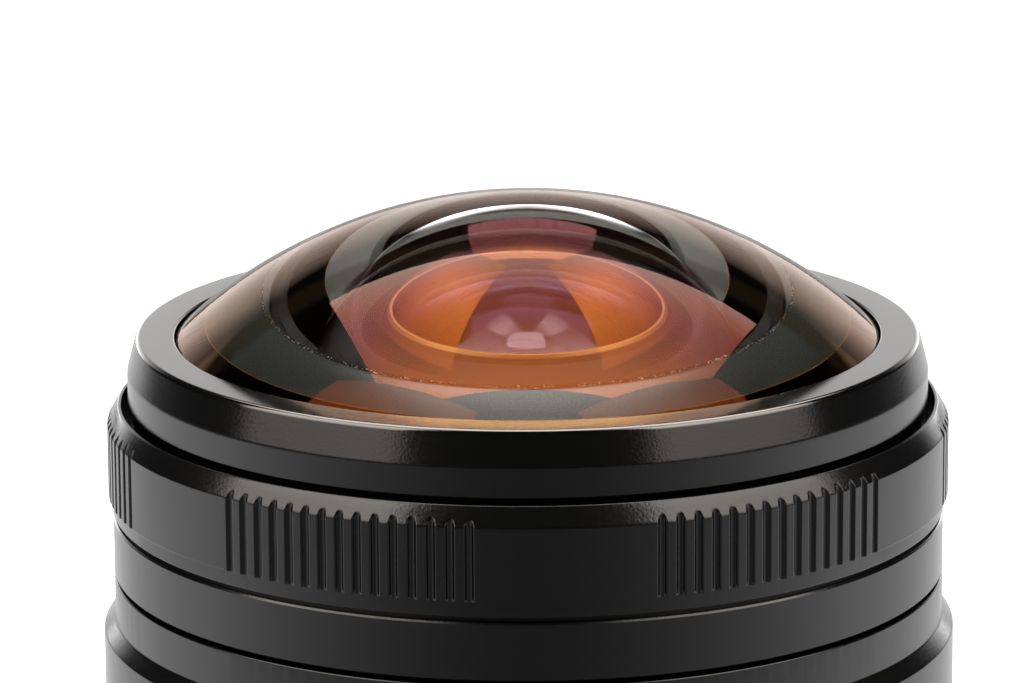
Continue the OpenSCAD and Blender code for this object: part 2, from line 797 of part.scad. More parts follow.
// Hexagon socket screws that fix the focus ring to the cam sleeve
module focus_grub_screws() {
    grub_len = focus_r - grub_sink - cam_out_r + grub_depth;
    color("#2a2a2c") for (i = [0:grub_count - 1])
        rotate([0, 0, grub_turn(i)])
            translate([cam_out_r - grub_depth, 0, grub_z])
                rotate([0, 90, 0]) difference() {
                    cylinder(h = grub_len, r = grub_r);
                    translate([0, 0, grub_len - grub_r]) cylinder(h = grub_r + cut, r = grub_key_r, $fn = 6);
                }
}

// Front barrel: band, skirt, hub for the aperture ring and seat for the front element
module front_barrel() {
    arm_margin = 1;
    color("#1c1c1e") difference() {
        turned([
            [skirt_in_r, band_z - skirt_h], [skirt_out_r, band_z - skirt_h],
            [skirt_out_r, band_z], [band_r - edge_break, band_z],
            [band_r, band_z + edge_break], [band_r, band_top - edge_break],
            [band_r - edge_break, band_top], [hub_r, band_top],
            [hub_r, hub_top], [hub_flange_in_r, hub_top],
            [hub_flange_in_r, hub_top - hub_flange_t], [hub_in_r, hub_top - hub_flange_t],
            [hub_in_r, base_top], [base_in_r, base_top],
            [base_in_r, band_z], [skirt_in_r, band_z]
        ]);
        sector(
            hub_in_r - cut, hub_r + cut, arm_z - air, arm_t + 2 * air,
            arm_turn - half_angle(arm_w / 2, hub_in_r) - arm_margin,
            aperture_throw + 2 * half_angle(arm_w / 2, hub_in_r) + 2 * arm_margin
        );
        sector(
            arm_r - air, arm_r + arm_t + air, band_z - cut, base_disc_t + 2 * cut,
            arm_turn - half_angle(arm_w / 2, arm_r) - arm_margin,
            aperture_throw + 2 * half_angle(arm_w / 2, arm_r) + 2 * arm_margin
        );
        around(barrel_screw_count, barrel_screw_circle, barrel_screw_turn)
            top_hole(base_top, base_disc_t + cut, small_screw_r, small_head_r);
    }
}

// Tube that slides in the guide tube and carries the iris and the rear group
module inner_barrel() {
    color("#3a3a3c") difference() {
        turned([
            [inner_bore_r, inner_z], [inner_out_r, inner_z],
            [inner_out_r, band_z], [inner_bore_r, band_z],
            [inner_bore_r, group_ledge_top], [group_ledge_in_r, group_ledge_top],
            [group_ledge_in_r, group_ledge_z], [inner_bore_r, group_ledge_z]
        ]);
        around(barrel_screw_count, barrel_screw_circle, barrel_screw_turn)
            rod(band_z - barrel_screw_h, barrel_screw_h + cut, small_screw_r + seat_fit);
        around(group_screw_count, group_screw_circle)
            rod(group_ledge_z - cut, group_ledge_t + 2 * cut, small_screw_r + seat_fit);
        for (i = [0:follower_count - 1])
            rotate([0, 0, follower_turn + i * 360 / follower_count])
                translate([inner_bore_r - cut, 0, follower_z])
                    rotate([0, 90, 0]) cylinder(h = inner_wall + 2 * cut, r = follower_r + seat_fit);
    }
}

// Screws that join the two barrels
module barrel_screws() {
    color("gray") around(barrel_screw_count, barrel_screw_circle, barrel_screw_turn)
        top_screw(base_top, base_disc_t + barrel_screw_h - cut, small_screw_r, small_head_r);
}

// Pins that run in the straight slots of the guide tube and in the cam slots
module cam_followers() {
    color("goldenrod") for (i = [0:follower_count - 1])
        rotate([0, 0, follower_turn + i * 360 / follower_count])
            translate([follower_in_r, 0, follower_z])
                rotate([0, 90, 0]) cylinder(h = follower_out_r - follower_in_r, r = follower_r);
}

// Domed front element with a deep hollow behind and a ground step round its edge
module front_element() {
    color([0.75, 0.8, 0.82, 0.4]) difference() {
        union() {
            intersection() {
                translate([0, 0, dome_z]) sphere(r = dome_radius, $fn = sphere_facets);
                rod(glass_z, dome_radius, glass_r);
            }
            rod(glass_z, step_t, step_r);
        }
        translate([0, 0, hollow_z]) sphere(r = hollow_radius, $fn = sphere_facets);
    }
}

// Flat seal between the ground step and the bezel's lip
module front_gasket() {
    color("#101010") ring(step_z, lip_z - step_z, step_r, lip_r + run_fit);
}

// Amber film shim that sets the front element's height
module front_shim() {
    color("#c8761e") ring(hub_top, shim_t, step_r, shim_in_r);
}

// Matte black ring that masks the flat back of the front element
module front_mask() {
    color("#3c3e38") ring(hub_top, mask_t, shim_in_r - run_fit, hollow_rim_r + run_fit);
}

// Screw-on bezel with a leaning flank and a rounded crown
module front_bezel() {
    color("#1c1c1e") rotate_extrude() difference() {
        union() {
            polygon([
                [lip_r, bezel_skirt_z], [bezel_relief_r, bezel_skirt_z],
                [bezel_relief_r, bezel_relief_z], [bezel_r, bezel_relief_z],
                [bezel_r, flank_z], crown_tangent(),
                [crown_flat_r, bezel_top], [lip_r, bezel_top]
            ]);
            translate([crown_flat_r, bezel_top - crown_r]) circle(r = crown_r);
        }
        translate([0, lip_z - dome_radius]) square([bezel_step_r, dome_radius]);
        translate([0, hub_top - dome_radius]) square([bezel_thread_r, dome_radius]);
        translate([0, lip_z - cut]) square([lip_r, dome_radius]);
    }
}

// Where the crown's arc meets the flank
function crown_tangent() = [
    crown_flat_r + crown_r * cos(flank_lean),
    bezel_top - crown_r + crown_r * sin(flank_lean)
];

// Cell that carries the second and third elements
module second_cell() {
    color("#202022") turned([
        [third_r + seat_fit, base_top], [cell_r, base_top],
        [cell_r, cell_top], [cell_thread_r, cell_top],
        [cell_thread_r, second_edge_z], [cell_bore_r, second_edge_z],
        [cell_bore_r, second_z], [second_seat_r, second_z],
        [second_seat_r, second_seat_z], [third_r + seat_fit, second_seat_z]
    ]);
}

// Strong meniscus under the front element
module second_element() {
    color([0.75, 0.8, 0.82, 0.4]) element(
        second_z, second_edge_t, second_r,
        second_clear_r, second_front_radius, second_rear_clear_r, -second_rear_radius
    );
}

// Threaded ring over the second element, with a conical hood that keeps stray light off the element's edge
module second_retainer() {
    out_r = cell_thread_r - seat_fit;
    in_r = second_clear_r + run_fit;
    color("#202022") turned([
        [in_r, second_edge_z], [out_r, second_edge_z],
        [out_r, cell_top], [in_r, cell_top],
        [hood_out_r, hood_top - hood_bevel], [hood_out_r - hood_bevel, hood_top],
        [hood_in_r, hood_top], [hood_in_r, hood_top - hood_deep],
        [in_r, second_edge_z + hood_foot]
    ]);
}

// Element that is hollow in front and bulges behind
module third_element() {
    color([0.75, 0.8, 0.82, 0.4]) element(
        third_z, third_edge_t, third_r,
        third_clear_r, -third_front_radius, third_clear_r, third_rear_radius
    );
}

// Threaded ring under the third element
module third_retainer() {
    color("#202022") ring(third_z - third_retainer_h, third_retainer_h, third_r, third_clear_r + run_fit);
}

// Tube with a flange that carries the rear group
module rear_cell() {
    color("#202022") difference() {
        turned([
            [rear_bore_r, rear_tube_z], [rear_tube_r, rear_tube_z],
            [rear_tube_r, rear_flange_z], [inner_bore_r - run_fit, rear_flange_z],
            [inner_bore_r - run_fit, iris_z], [rear_stop_r, iris_z],
            [rear_stop_r, fourth_top], [rear_bore_r, fourth_top]
        ]);
        around(group_screw_count, group_screw_circle)
            rod(rear_flange_z - cut, rear_flange_t + 2 * cut, small_screw_r + seat_fit);
    }
}

// Element behind the iris, bulging on its rear side
module fourth_element() {
    color([0.75, 0.8, 0.82, 0.4]) element(
        fourth_z, fourth_edge_t, rear_r,
        rear_clear_r, -fourth_front_radius, rear_clear_r, fourth_radius
    );
}

// Ring between the fourth element and the doublet
module rear_spacer() {
    color("#202022") ring(rear_spacer_z, rear_spacer_h, rear_r, rear_clear_r + run_fit);
}

// Front half of the cemented doublet
module doublet_crown() {
    color([0.75, 0.8, 0.82, 0.4])
        element(
            crown_z, crown_edge_t, rear_r,
            rear_clear_r, crown_front_radius, rear_clear_r, cement_radius
        );
}

// Rear half of the cemented doublet
module doublet_flint() {
    color([0.75, 0.8, 0.82, 0.4])
        element(
            flint_z, flint_edge_t, rear_r,
            rear_clear_r, -cement_radius, rear_clear_r, flint_rear_radius
        );
}

// Threaded ring behind the doublet
module rear_retainer() {
    color("#202022") ring(rear_retainer_z, rear_retainer_h, rear_r, rear_clear_r + run_fit);
}

// Screws that hold the iris and the rear cell to the inner barrel's ledge
module group_screws() {
    length = iris_floor_t + rear_flange_t + group_ledge_t;
    color("gray") around(group_screw_count, group_screw_circle)
        top_screw(iris_z + iris_floor_t, length, small_screw_r, small_head_r);
}

// Housing with the blades' pivot holes, a shelf and a rim for the cam ring
module iris_base() {
    tab_margin = 1;
    color("#202022") difference() {
        turned([
            [iris_hole_r, iris_z], [inner_bore_r - run_fit, iris_z],
            [inner_bore_r - run_fit, iris_z + iris_floor_t], [rim_out_r, iris_z + iris_floor_t],
            [rim_out_r, rim_top], [rim_in_r, rim_top],
            [rim_in_r, shelf_top], [shelf_in_r, shelf_top],
            [shelf_in_r, iris_z + iris_floor_t], [iris_hole_r, iris_z + iris_floor_t]
        ]);
        sector(
            rim_in_r - cut, rim_out_r + cut, shelf_top, rim_top,
            arm_turn - half_angle(arm_w / 2, rim_in_r) - tab_margin,
            aperture_throw + 2 * half_angle(arm_w / 2, rim_in_r) + 2 * tab_margin
        );
        around(blade_count, pivot_circle) rod(iris_z - cut, iris_floor_t + 2 * cut, blade_pin_r + run_fit);
        around(group_screw_count, group_screw_circle)
            top_hole(iris_z + iris_floor_t, iris_floor_t + cut, small_screw_r, small_head_r);
        for (a = iris_screw_turns)
            rotate([0, 0, a]) translate([iris_screw_circle, 0, 0])
                rod(iris_z + iris_floor_t, rim_top, iris_screw_r + seat_fit);
    }
}

// Ring that closes the iris
module iris_cover() {
    color("#202022") difference() {
        ring(rim_top, cover_t, rim_out_r, cover_in_r);
        for (a = iris_screw_turns)
            rotate([0, 0, a]) translate([iris_screw_circle, 0, 0])
                top_hole(rim_top + cover_t, cover_t + cut, iris_screw_r, iris_screw_r * screw_head_ratio);
    }
}

// Screws through the cover into the rim
module iris_screws() {
    color("gray") for (a = iris_screw_turns)
        rotate([0, 0, a]) translate([iris_screw_circle, 0, 0])
            top_screw(
                rim_top + cover_t, cover_t + rim_top - iris_z - iris_floor_t - cut,
                iris_screw_r, iris_screw_r * screw_head_ratio
            );
}

// Black slip washer in the gap under the aperture ring
module slip_washer() {
    color("#050505") ring(band_top, slip_gap - axial_gap, band_r - washer_inset, hub_r + seat_fit);
}

// Aperture ring with groups of flutes, turning on the hub
module aperture_ring() {
    color("#1c1c1e") difference() {
        turned([
            [ring_bore_r, collar_z], [band_r - edge_break, collar_z],
            [band_r, collar_z + edge_break], [band_r, ring_z],
            [ring_r - ring_edge, ring_z], [ring_r, ring_z + ring_edge],
            [ring_r, chamfer_z], [ring_r - ring_chamfer_w, ring_top],
            [rim_bore_r, ring_top], [rim_bore_r, counterbore_z],
            [ring_bore_r, counterbore_z]
        ]);
        flutes(ring_r, ring_z - cut, ring_h + ring_chamfer_h + cut);
        rotate([0, 0, arm_turn])
            translate([ring_bore_r - cut, -arm_w / 2 - seat_fit, arm_z - seat_fit])
                cube([arm_out_r - ring_bore_r + cut + seat_fit, arm_w + 2 * seat_fit, arm_t + 2 * seat_fit]);
        arm_screw_places() {
            top_hole(counterbore_z, counterbore_z - arm_z, arm_screw_r, arm_screw_r * screw_head_ratio);
        }
    }
}

module arm_screw_places() {
    rotate([0, 0, arm_turn])
        for (s = [-arm_screw_spread, arm_screw_spread]) translate([arm_screw_circle, s, 0]) children();
}

// Bracket that carries the aperture ring's turn to the iris
module drive_arm() {
    color("#55565a") rotate([0, 0, arm_turn]) difference() {
        union() {
            translate([arm_r, -arm_w / 2, iris_cam_top]) cube([arm_t, arm_w, arm_top - iris_cam_top]);
            translate([arm_r, -arm_w / 2, arm_z]) cube([arm_out_r - arm_r, arm_w, arm_t]);
        }
        for (s = [-arm_screw_spread, arm_screw_spread])
            translate([arm_screw_circle, s, 0]) rod(arm_z - cut, arm_t + 2 * cut, arm_screw_r + seat_fit);
    }
}

// Screws from the aperture ring's counterbore into the arm
module drive_arm_screws() {
    color("gray") arm_screw_places() {
        top_screw(counterbore_z, counterbore_z - arm_z, arm_screw_r, arm_screw_r * screw_head_ratio);
    }
}

// Ring whose curved slots swing the blades
module iris_cam_ring() {
    first = drive_pin(0);
    last = drive_pin(1);
    mid = circle_mid(first, drive_pin(0.5), last);
    slot_r = norm(first - mid);
    start = atan2(last.y - mid.y, last.x - mid.x);
    span = atan2(first.y - mid.y, first.x - mid.x) - start;
    slot_half = blade_pin_r + run_fit;
    color("#707276") difference() {
        union() {
            ring(iris_cam_z, iris_cam_t, iris_cam_r, iris_cam_in_r);
            rotate([0, 0, arm_turn])
                translate([iris_cam_in_r + arm_w, -arm_w / 2, iris_cam_z])
                    cube([arm_r + arm_t - iris_cam_in_r - arm_w, arm_w, iris_cam_t]);
        }
        for (i = [0:blade_count - 1])
            rotate([0, 0, i * blade_pitch]) {
                translate([mid.x, mid.y, 0])
                    sector(
                        slot_r - slot_half, slot_r + slot_half, iris_cam_z - cut, iris_cam_t + 2 * cut,
                        start, span
                    );
                for (p = [first, last])
                    translate([p.x, p.y, 0]) rod(iris_cam_z - cut, iris_cam_t + 2 * cut, slot_half);
            }
    }
}

// One blade with its pivot pin below and its drive pin above
module iris_blade(i) {
    z = blade_z + i * blade_step;
    color("#2c2c2e") rotate([0, 0, i * blade_pitch]) {
        sector(blade_in_r, blade_out_r, z, blade_t, -blade_tail, blade_span);
        sector(blade_out_r - cut, ear_r, z, blade_t, -blade_tail, ear_span);
        translate([pivot_circle, 0, 0]) rod(iris_z, z - iris_z + blade_t / 2, blade_pin_r);
        translate(polar(pivot_circle, drive_offset))
            rod(z + blade_t / 2, iris_cam_top - z - blade_t / 2, blade_pin_r);
    }
}

module iris_blade_1() { iris_blade(0); }
module iris_blade_2() { iris_blade(1); }
module iris_blade_3() { iris_blade(2); }
module iris_blade_4() { iris_blade(3); }
module iris_blade_5() { iris_blade(4); }
module iris_blade_6() { iris_blade(5); }

lens_mount();
mount_screws();
rear_baffle();
baffle_screws();
rear_barrel();
alignment_bead();
guide_tube();
guide_tube_screws();
sleeve_retainer();
thrust_washer();
focus_stop_pin();
focus_ring();
cam_sleeve();
focus_grub_screws();
front_barrel();
inner_barrel();
barrel_screws();
cam_followers();
front_element();
front_gasket();
front_shim();
front_mask();
front_bezel();
second_cell();
second_element();
second_retainer();
third_element();
third_retainer();
rear_cell();
fourth_element();
rear_spacer();
doublet_crown();
doublet_flint();
rear_retainer();
group_screws();
iris_base();
iris_cover();
iris_screws();
slip_washer();
aperture_ring();
drive_arm();
drive_arm_screws();
iris_cam_ring();
iris_blade_1();
iris_blade_2();
iris_blade_3();
iris_blade_4();
iris_blade_5();
iris_blade_6();
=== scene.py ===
import math

import bmesh
import bpy
from mathutils import Matrix, Vector


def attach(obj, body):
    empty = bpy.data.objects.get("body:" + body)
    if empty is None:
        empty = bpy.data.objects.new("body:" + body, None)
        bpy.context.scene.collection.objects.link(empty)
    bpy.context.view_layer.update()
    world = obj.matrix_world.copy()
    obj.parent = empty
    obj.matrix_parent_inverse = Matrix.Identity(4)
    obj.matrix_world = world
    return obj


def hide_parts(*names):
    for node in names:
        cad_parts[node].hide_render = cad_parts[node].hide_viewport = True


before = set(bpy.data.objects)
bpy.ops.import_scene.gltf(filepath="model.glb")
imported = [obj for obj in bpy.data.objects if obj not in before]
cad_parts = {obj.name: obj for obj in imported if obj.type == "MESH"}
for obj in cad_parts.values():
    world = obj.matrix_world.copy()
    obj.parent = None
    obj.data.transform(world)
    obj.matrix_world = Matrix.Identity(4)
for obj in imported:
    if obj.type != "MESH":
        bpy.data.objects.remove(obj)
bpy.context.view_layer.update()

# Lens mount: a bayonet flange with a spigot and three tabs, turned and milled from stainless steel.
# Four countersunk screws hold it to the rear barrel. The sizes of all pieces are in millimetres.
MM = 0.001
PATCH_WIDTH = 6
RAMP_ENDS = 2


def linear(code):
    """Linear RGBA of an sRGB hex colour."""
    parts = [int(code[i:i + 2], 16) / 255 for i in (1, 3, 5)]
    return [c / 12.92 if c <= 0.04045 else ((c + 0.055) / 1.055) ** 2.4 for c in parts] + [1.0]


def add(tree, kind, sockets, stops=(), **settings):
    """Adds a shader node; a socket takes a value, or a (node, output) pair to link.

    A colour ramp also takes its stops, (position, colour), and the two that it starts with are used first.
    """
    node = tree.nodes.new("ShaderNode" + kind)
    for name, value in settings.items():
        setattr(node, name, value)
    for name, value in sockets.items():
        if isinstance(value, tuple) and isinstance(value[0], bpy.types.Node):
            tree.links.new(value[0].outputs[value[1]], node.inputs[name])
        else:
            node.inputs[name].default_value = value
    for number, (at, colour) in enumerate(stops):
        made = node.color_ramp.elements
        stop = made[number] if number < RAMP_ENDS else made.new(at)
        stop.position = at
        stop.color = colour
    return node


def empty_material(name):
    """A new material whose nodes are still to be added."""
    material = bpy.data.materials.new(name)
    material.use_nodes = True
    material.node_tree.nodes.clear()
    return material


def surface_finish(name, colours, rough, lines, grit, metallic=0.0, ior=1.5):
    """Finish with soft patches of two colours, fine lines round the axis and a grit.

    The lines are what a lathe or a mould leaves. Lines and grit are each (width, depth) in mm.
    """
    material = empty_material(name)
    tree = material.node_tree
    place = add(tree, "TexCoord", {})
    split = add(tree, "SeparateXYZ", {"Vector": (place, "Object")})
    flat = add(tree, "CombineXYZ", {"X": (split, "X"), "Y": (split, "Y")})
    radius = add(tree, "VectorMath", {"Vector": (flat, "Vector")}, operation="LENGTH")
    section = add(tree, "CombineXYZ", {"X": (radius, "Value"), "Z": (split, "Z")})
    turning = add(tree, "TexNoise", {
        "Vector": (section, "Vector"), "Scale": 1 / (lines[0] * MM), "Detail": 2.0})
    speck = add(tree, "TexNoise", {
        "Vector": (place, "Object"), "Scale": 1 / (grit[0] * MM), "Detail": 2.0})
    patch = add(tree, "TexNoise", {
        "Vector": (place, "Object"), "Scale": 1 / (PATCH_WIDTH * MM), "Detail": 4.0})
    shade = add(tree, "MixRGB", {
        "Fac": (patch, "Fac"), "Color1": linear(colours[0]), "Color2": linear(colours[1])})
    gloss = add(tree, "MapRange", {"Value": (speck, "Fac"), "To Min": rough[0], "To Max": rough[1]})
    cut = add(tree, "Math", {0: (turning, "Fac"), 1: lines[1] * MM}, operation="MULTIPLY")
    height = add(tree, "Math", {0: (speck, "Fac"), 1: grit[1] * MM, 2: (cut, "Value")},
                 operation="MULTIPLY_ADD")
    relief = add(tree, "Bump", {"Height": (height, "Value"), "Distance": 1.0})
    surface = add(tree, "BsdfPrincipled", {
        "Base Color": (shade, "Color"), "Roughness": (gloss, "Result"), "Normal": (relief, "Normal"),
        "Metallic": metallic, "IOR": ior})
    add(tree, "OutputMaterial", {"Surface": (surface, "BSDF")})
    return material


def dress(material, *names):
    """Gives CAD nodes a material."""
    for name in names:
        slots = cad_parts[name].data.materials
        slots.clear()
        slots.append(material)


# Turned stainless steel: bright, with fine rings from the tool.
mount_steel = surface_finish(
    "turned_stainless_steel", colours=("#c9c7c3", "#a9a6a1"), rough=(0.16, 0.34),
    lines=(0.12, 0.0012), grit=(0.06, 0.0004), metallic=1.0)
dress(mount_steel, "lens_mount")

# Screws: small cross-head and grub screws of steel, their threads rolled.
# The four in the mount are zinc plated, and the others, inside and in the focus ring, are blackened.

# Zinc plating: a plain silver, a little dull.
screw_steel = surface_finish(
    "zinc_plated_screw_steel", colours=("#b9b7b2", "#8d8a85"), rough=(0.22, 0.42),
    lines=(0.05, 0.0006), grit=(0.05, 0.0006), metallic=1.0)
# Black oxide: nearly black, with a trace of the steel's shine.
black_screw = surface_finish(
    "black_oxide_screw_steel", colours=("#1b1b1c", "#262525"), rough=(0.3, 0.5),
    lines=(0.05, 0.0006), grit=(0.05, 0.0008), metallic=0.4)
dress(screw_steel, "mount_screws")
dress(black_screw, "baffle_screws", "guide_tube_screws", "focus_grub_screws", "barrel_screws",
      "group_screws", "iris_screws", "drive_arm_screws")

# Blackened inner parts: the stamped rear baffle with its rectangular window, and the turned inner barrel,
# cells, rings and iris plates. They are brass, chemically blackened, and screws or threads hold them.

# Blackened brass: a dull black that gives back no stray light.
blackened = surface_finish(
    "blackened_brass", colours=("#121212", "#1b1a19"), rough=(0.5, 0.7),
    lines=(0.2, 0.0006), grit=(0.08, 0.0016))
dress(blackened, "rear_baffle", "sleeve_retainer", "inner_barrel", "second_cell", "third_retainer",
      "rear_cell", "rear_spacer", "rear_retainer", "iris_base", "iris_cover")

# Rear barrel: turned from aluminium, bead blasted and black anodised, and held by the mount's screws.
# A moulded red bead in its wall is the mounting index.

# Black anodised aluminium: deep black with a soft gloss, its highlights broken up by the blasting.
# The grit is drawn coarser than it is, so that it shows.
black_anodised = surface_finish(
    "black_anodised_aluminium", colours=("#070707", "#0b0b0b"), rough=(0.12, 0.24),
    lines=(0.16, 0.0016), grit=(0.20, 0.0080), ior=1.7)
# Moulded acrylic: an even, glossy red.
bead_red = surface_finish(
    "moulded_red_acrylic", colours=("#b3161b", "#a01217"), rough=(0.1, 0.2),
    lines=(0.3, 0.0002), grit=(0.1, 0.0003))
dress(black_anodised, "rear_barrel")
dress(bead_red, "alignment_bead")

# Focus drive: a fixed guide tube, a brass cam sleeve on a slip washer, its followers and a stop pin.
# The tube and the sleeve are turned and slotted. All of it is hidden when the lens is whole.

# Bare turned aluminium: pale grey with fine rings.
tube_metal = surface_finish(
    "turned_bare_aluminium", colours=("#b4b4b5", "#9c9c9e"), rough=(0.25, 0.4),
    lines=(0.12, 0.0012), grit=(0.06, 0.0005), metallic=1.0)
# Turned brass: yellow with fine rings.
cam_brass = surface_finish(
    "turned_brass", colours=("#c8a35c", "#ad8846"), rough=(0.22, 0.38),
    lines=(0.12, 0.0012), grit=(0.06, 0.0005), metallic=1.0)
# Natural acetal: an off-white with a dull, waxy gloss.
slip_plastic = surface_finish(
    "natural_acetal", colours=("#d8d5cb", "#cdc9be"), rough=(0.4, 0.5),
    lines=(0.2, 0.0008), grit=(0.1, 0.0008))
dress(tube_metal, "guide_tube")
dress(cam_brass, "cam_sleeve", "cam_followers")
dress(slip_plastic, "thrust_washer")
dress(screw_steel, "focus_stop_pin")

# Focus ring: black anodised aluminium with six groups of fine flutes under a conical shoulder and a neck.
# Three grub screws hold it to the cam sleeve.
FLUTE_R = 0.30
FLUTE_PITCH = 2.5
FLUTES = 15
FLUTE_EDGE = 0.05
FLUTE_CUTS = (-1.0, -0.6, -0.5, -0.44, -0.36, -0.2, 0.0, 0.2, 0.36, 0.44, 0.5, 0.6)
GROUPS = 6
GROUP_TURN = 360 / GROUPS
GROUP_MIDDLE = 4.9
LAND_STEPS = 18
LAND_RISE = 3
NORMAL_WEIGHT = 100
MERGE_WITHIN = 1e-7
CORNER_STEPS = 3


def flute_angles():
    """Angles in degrees round a ring: close together across each flute, wide apart on the plain lands."""
    angles = []
    for group in range(GROUPS):
        first = GROUP_MIDDLE + GROUP_TURN * group - FLUTE_PITCH * (FLUTES - 1) / 2
        angles += [first + FLUTE_PITCH * (i + cut / 2) for i in range(FLUTES) for cut in FLUTE_CUTS]
        last = first + FLUTE_PITCH * (FLUTES - 0.5)
        land = GROUP_TURN - FLUTE_PITCH * FLUTES
        angles += [last + land * step / LAND_STEPS for step in range(LAND_STEPS)]
    return angles


def flute_floor(angle, radius):
    """Radius of the flute's floor at an angle, and well outside the ring on the lands."""
    local = (angle - GROUP_MIDDLE + GROUP_TURN / 2) % GROUP_TURN - GROUP_TURN / 2
    index = min(max(round(local / FLUTE_PITCH + (FLUTES - 1) / 2), 0), FLUTES - 1)
    off = math.radians(local - FLUTE_PITCH * (index - (FLUTES - 1) / 2))
    side = abs(radius * math.sin(off))
    if side < FLUTE_R:
        return radius * math.cos(off) - math.sqrt(FLUTE_R ** 2 - side ** 2)
    return radius + LAND_RISE * (side - FLUTE_R)


def soft_min(a, b, width):
    """Lower of two radii with the edge between them rounded over a width."""
    share = min(max(0.5 + 0.5 * (b - a) / width, 0.0), 1.0)
    return b * (1 - share) + a * share - width * share * (1 - share)


def mesh_piece(name, shape, body, slot, *nodes):
    """Makes a bmesh a smooth piece that rides on a body and stands for CAD nodes."""
    mesh = bpy.data.meshes.new(name)
    shape.to_mesh(mesh)
    shape.free()
    mesh.polygons.foreach_set("use_smooth", [True] * len(mesh.polygons))
    piece = bpy.data.objects.new(name, mesh)
    bpy.context.scene.collection.objects.link(piece)
    normals = piece.modifiers.new("flat_faces", "WEIGHTED_NORMAL")
    normals.weight = NORMAL_WEIGHT
    normals.keep_sharp = True
    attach(piece, body)
    if nodes:
        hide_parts(*nodes)
    return piece


def fluted_ring(levels, flute_at):
    """Draws an outline with flutes and extrudes it from level to level, (radius, height, fluted)."""
    shape = bmesh.new()
    angles = flute_angles()
    floors = [flute_floor(angle, flute_at) for angle in angles]
    spokes = [(math.cos(math.radians(angle)), math.sin(math.radians(angle))) for angle in angles]
    loop = [shape.verts.new((x, y, 0.0)) for x, y in spokes]
    edges = [shape.edges.new((loop[i - 1], loop[i])) for i in range(len(loop))]
    for step, (radius, height, fluted) in enumerate(levels + levels[:1]):
        if step:
            grown = bmesh.ops.extrude_edge_only(shape, edges=edges)["geom"]
            fresh = {vert for vert in grown if isinstance(vert, bmesh.types.BMVert)}
            edges = [edge for edge in grown if isinstance(edge, bmesh.types.BMEdge)
                     and edge.verts[0] in fresh and edge.verts[1] in fresh]
            follow = {}
            for vert in fresh:
                for edge in vert.link_edges:
                    other = edge.other_vert(vert)
                    if other not in fresh:
                        follow[other] = vert
            loop = [follow[vert] for vert in loop]
        for vert, floor, (x, y) in zip(loop, floors, spokes):
            r = soft_min(radius, floor, FLUTE_EDGE) if fluted else radius
            vert.co = (r * x * MM, r * y * MM, height * MM)
    bmesh.ops.remove_doubles(shape, verts=shape.verts, dist=MERGE_WITHIN)
    bmesh.ops.recalc_face_normals(shape, faces=shape.faces)
    return shape


def rounded(points, radius):
    """Profile with its corners rounded; a point is (radius, height) or (radius, height, own corner)."""
    path = []
    for i, point in enumerate(points):
        here = Vector(point[:2])
        before = Vector(points[i - 1][:2]) - here
        after = Vector(points[(i + 1) % len(points)][:2]) - here
        own = point[2] if len(point) > 2 else radius
        reach = min(own, before.length / 2, after.length / 2)
        start = here + before.normalized() * reach
        end = here + after.normalized() * reach
        for step in range(CORNER_STEPS + 1):
            t = step / CORNER_STEPS
            path.append(tuple(start * (1 - t) ** 2 + here * 2 * t * (1 - t) + end * t ** 2))
    return path


FOCUS_R = 30.5
FOCUS_NECK_R = 29.68
FOCUS_BORE = 26.72
FOCUS_NECK_BORE = 27.9
FOCUS_LOW = 15.2
FOCUS_SHOULDER = 33.30
FOCUS_NECK_LOW = 34.25
FOCUS_TOP = 37.25
FOCUS_STEP = 33.8
FOCUS_FLUTES = (17.2, 27.2)
FOOT_EDGE = 0.35
TURNED_EDGE = 0.12
BORE_EDGE = 0.05
CRISP_EDGE = 0.02
focus_profile = rounded([
    (FOCUS_BORE, FOCUS_LOW), (FOCUS_R, FOCUS_LOW, FOOT_EDGE),
    (FOCUS_R, FOCUS_FLUTES[0], CRISP_EDGE), (FOCUS_R, FOCUS_FLUTES[1], CRISP_EDGE),
    (FOCUS_R, FOCUS_SHOULDER), (FOCUS_NECK_R, FOCUS_NECK_LOW),
    (FOCUS_NECK_R, FOCUS_TOP), (FOCUS_NECK_BORE, FOCUS_TOP, BORE_EDGE),
    (FOCUS_NECK_BORE, FOCUS_STEP, CRISP_EDGE), (FOCUS_BORE, FOCUS_STEP, CRISP_EDGE)], TURNED_EDGE)
focus_levels = [(r, z, r > FOCUS_NECK_R and FOCUS_FLUTES[0] <= z <= FOCUS_FLUTES[1])
                for r, z in focus_profile]
focus = mesh_piece("focus_ring_grip", fluted_ring(focus_levels, FOCUS_R),
                   "focus", "black_anodised", "focus_ring")
focus.data.materials.append(black_anodised)

# The grub screws' holes are drilled before the normals are weighted.
GRUBS = 3
GRUB_R = 1.05
GRUB_Z = 25.2
GRUB_TURN = GROUP_MIDDLE + GROUP_TURN / 2
DRILL_SIDES = 32
DRILL_OVER = 1
DRILL_LENGTH = 2 * (FOCUS_R - FOCUS_BORE) + DRILL_OVER
drill_shape = bmesh.new()
for number in range(GRUBS):
    turn = Matrix.Rotation(math.radians(GRUB_TURN + 360 / GRUBS * number), 4, "Z")
    out = Matrix.Translation((FOCUS_R * MM, 0, GRUB_Z * MM))
    lie = Matrix.Rotation(math.pi / 2, 4, "Y")
    bmesh.ops.create_cone(drill_shape, cap_ends=True, segments=DRILL_SIDES, radius1=GRUB_R * MM,
                          radius2=GRUB_R * MM, depth=DRILL_LENGTH * MM, matrix=turn @ out @ lie)
drill_mesh = bpy.data.meshes.new("grub_drill")
drill_shape.to_mesh(drill_mesh)
drill_shape.free()
drill = bpy.data.objects.new("grub_drill", drill_mesh)
bpy.context.scene.collection.objects.link(drill)
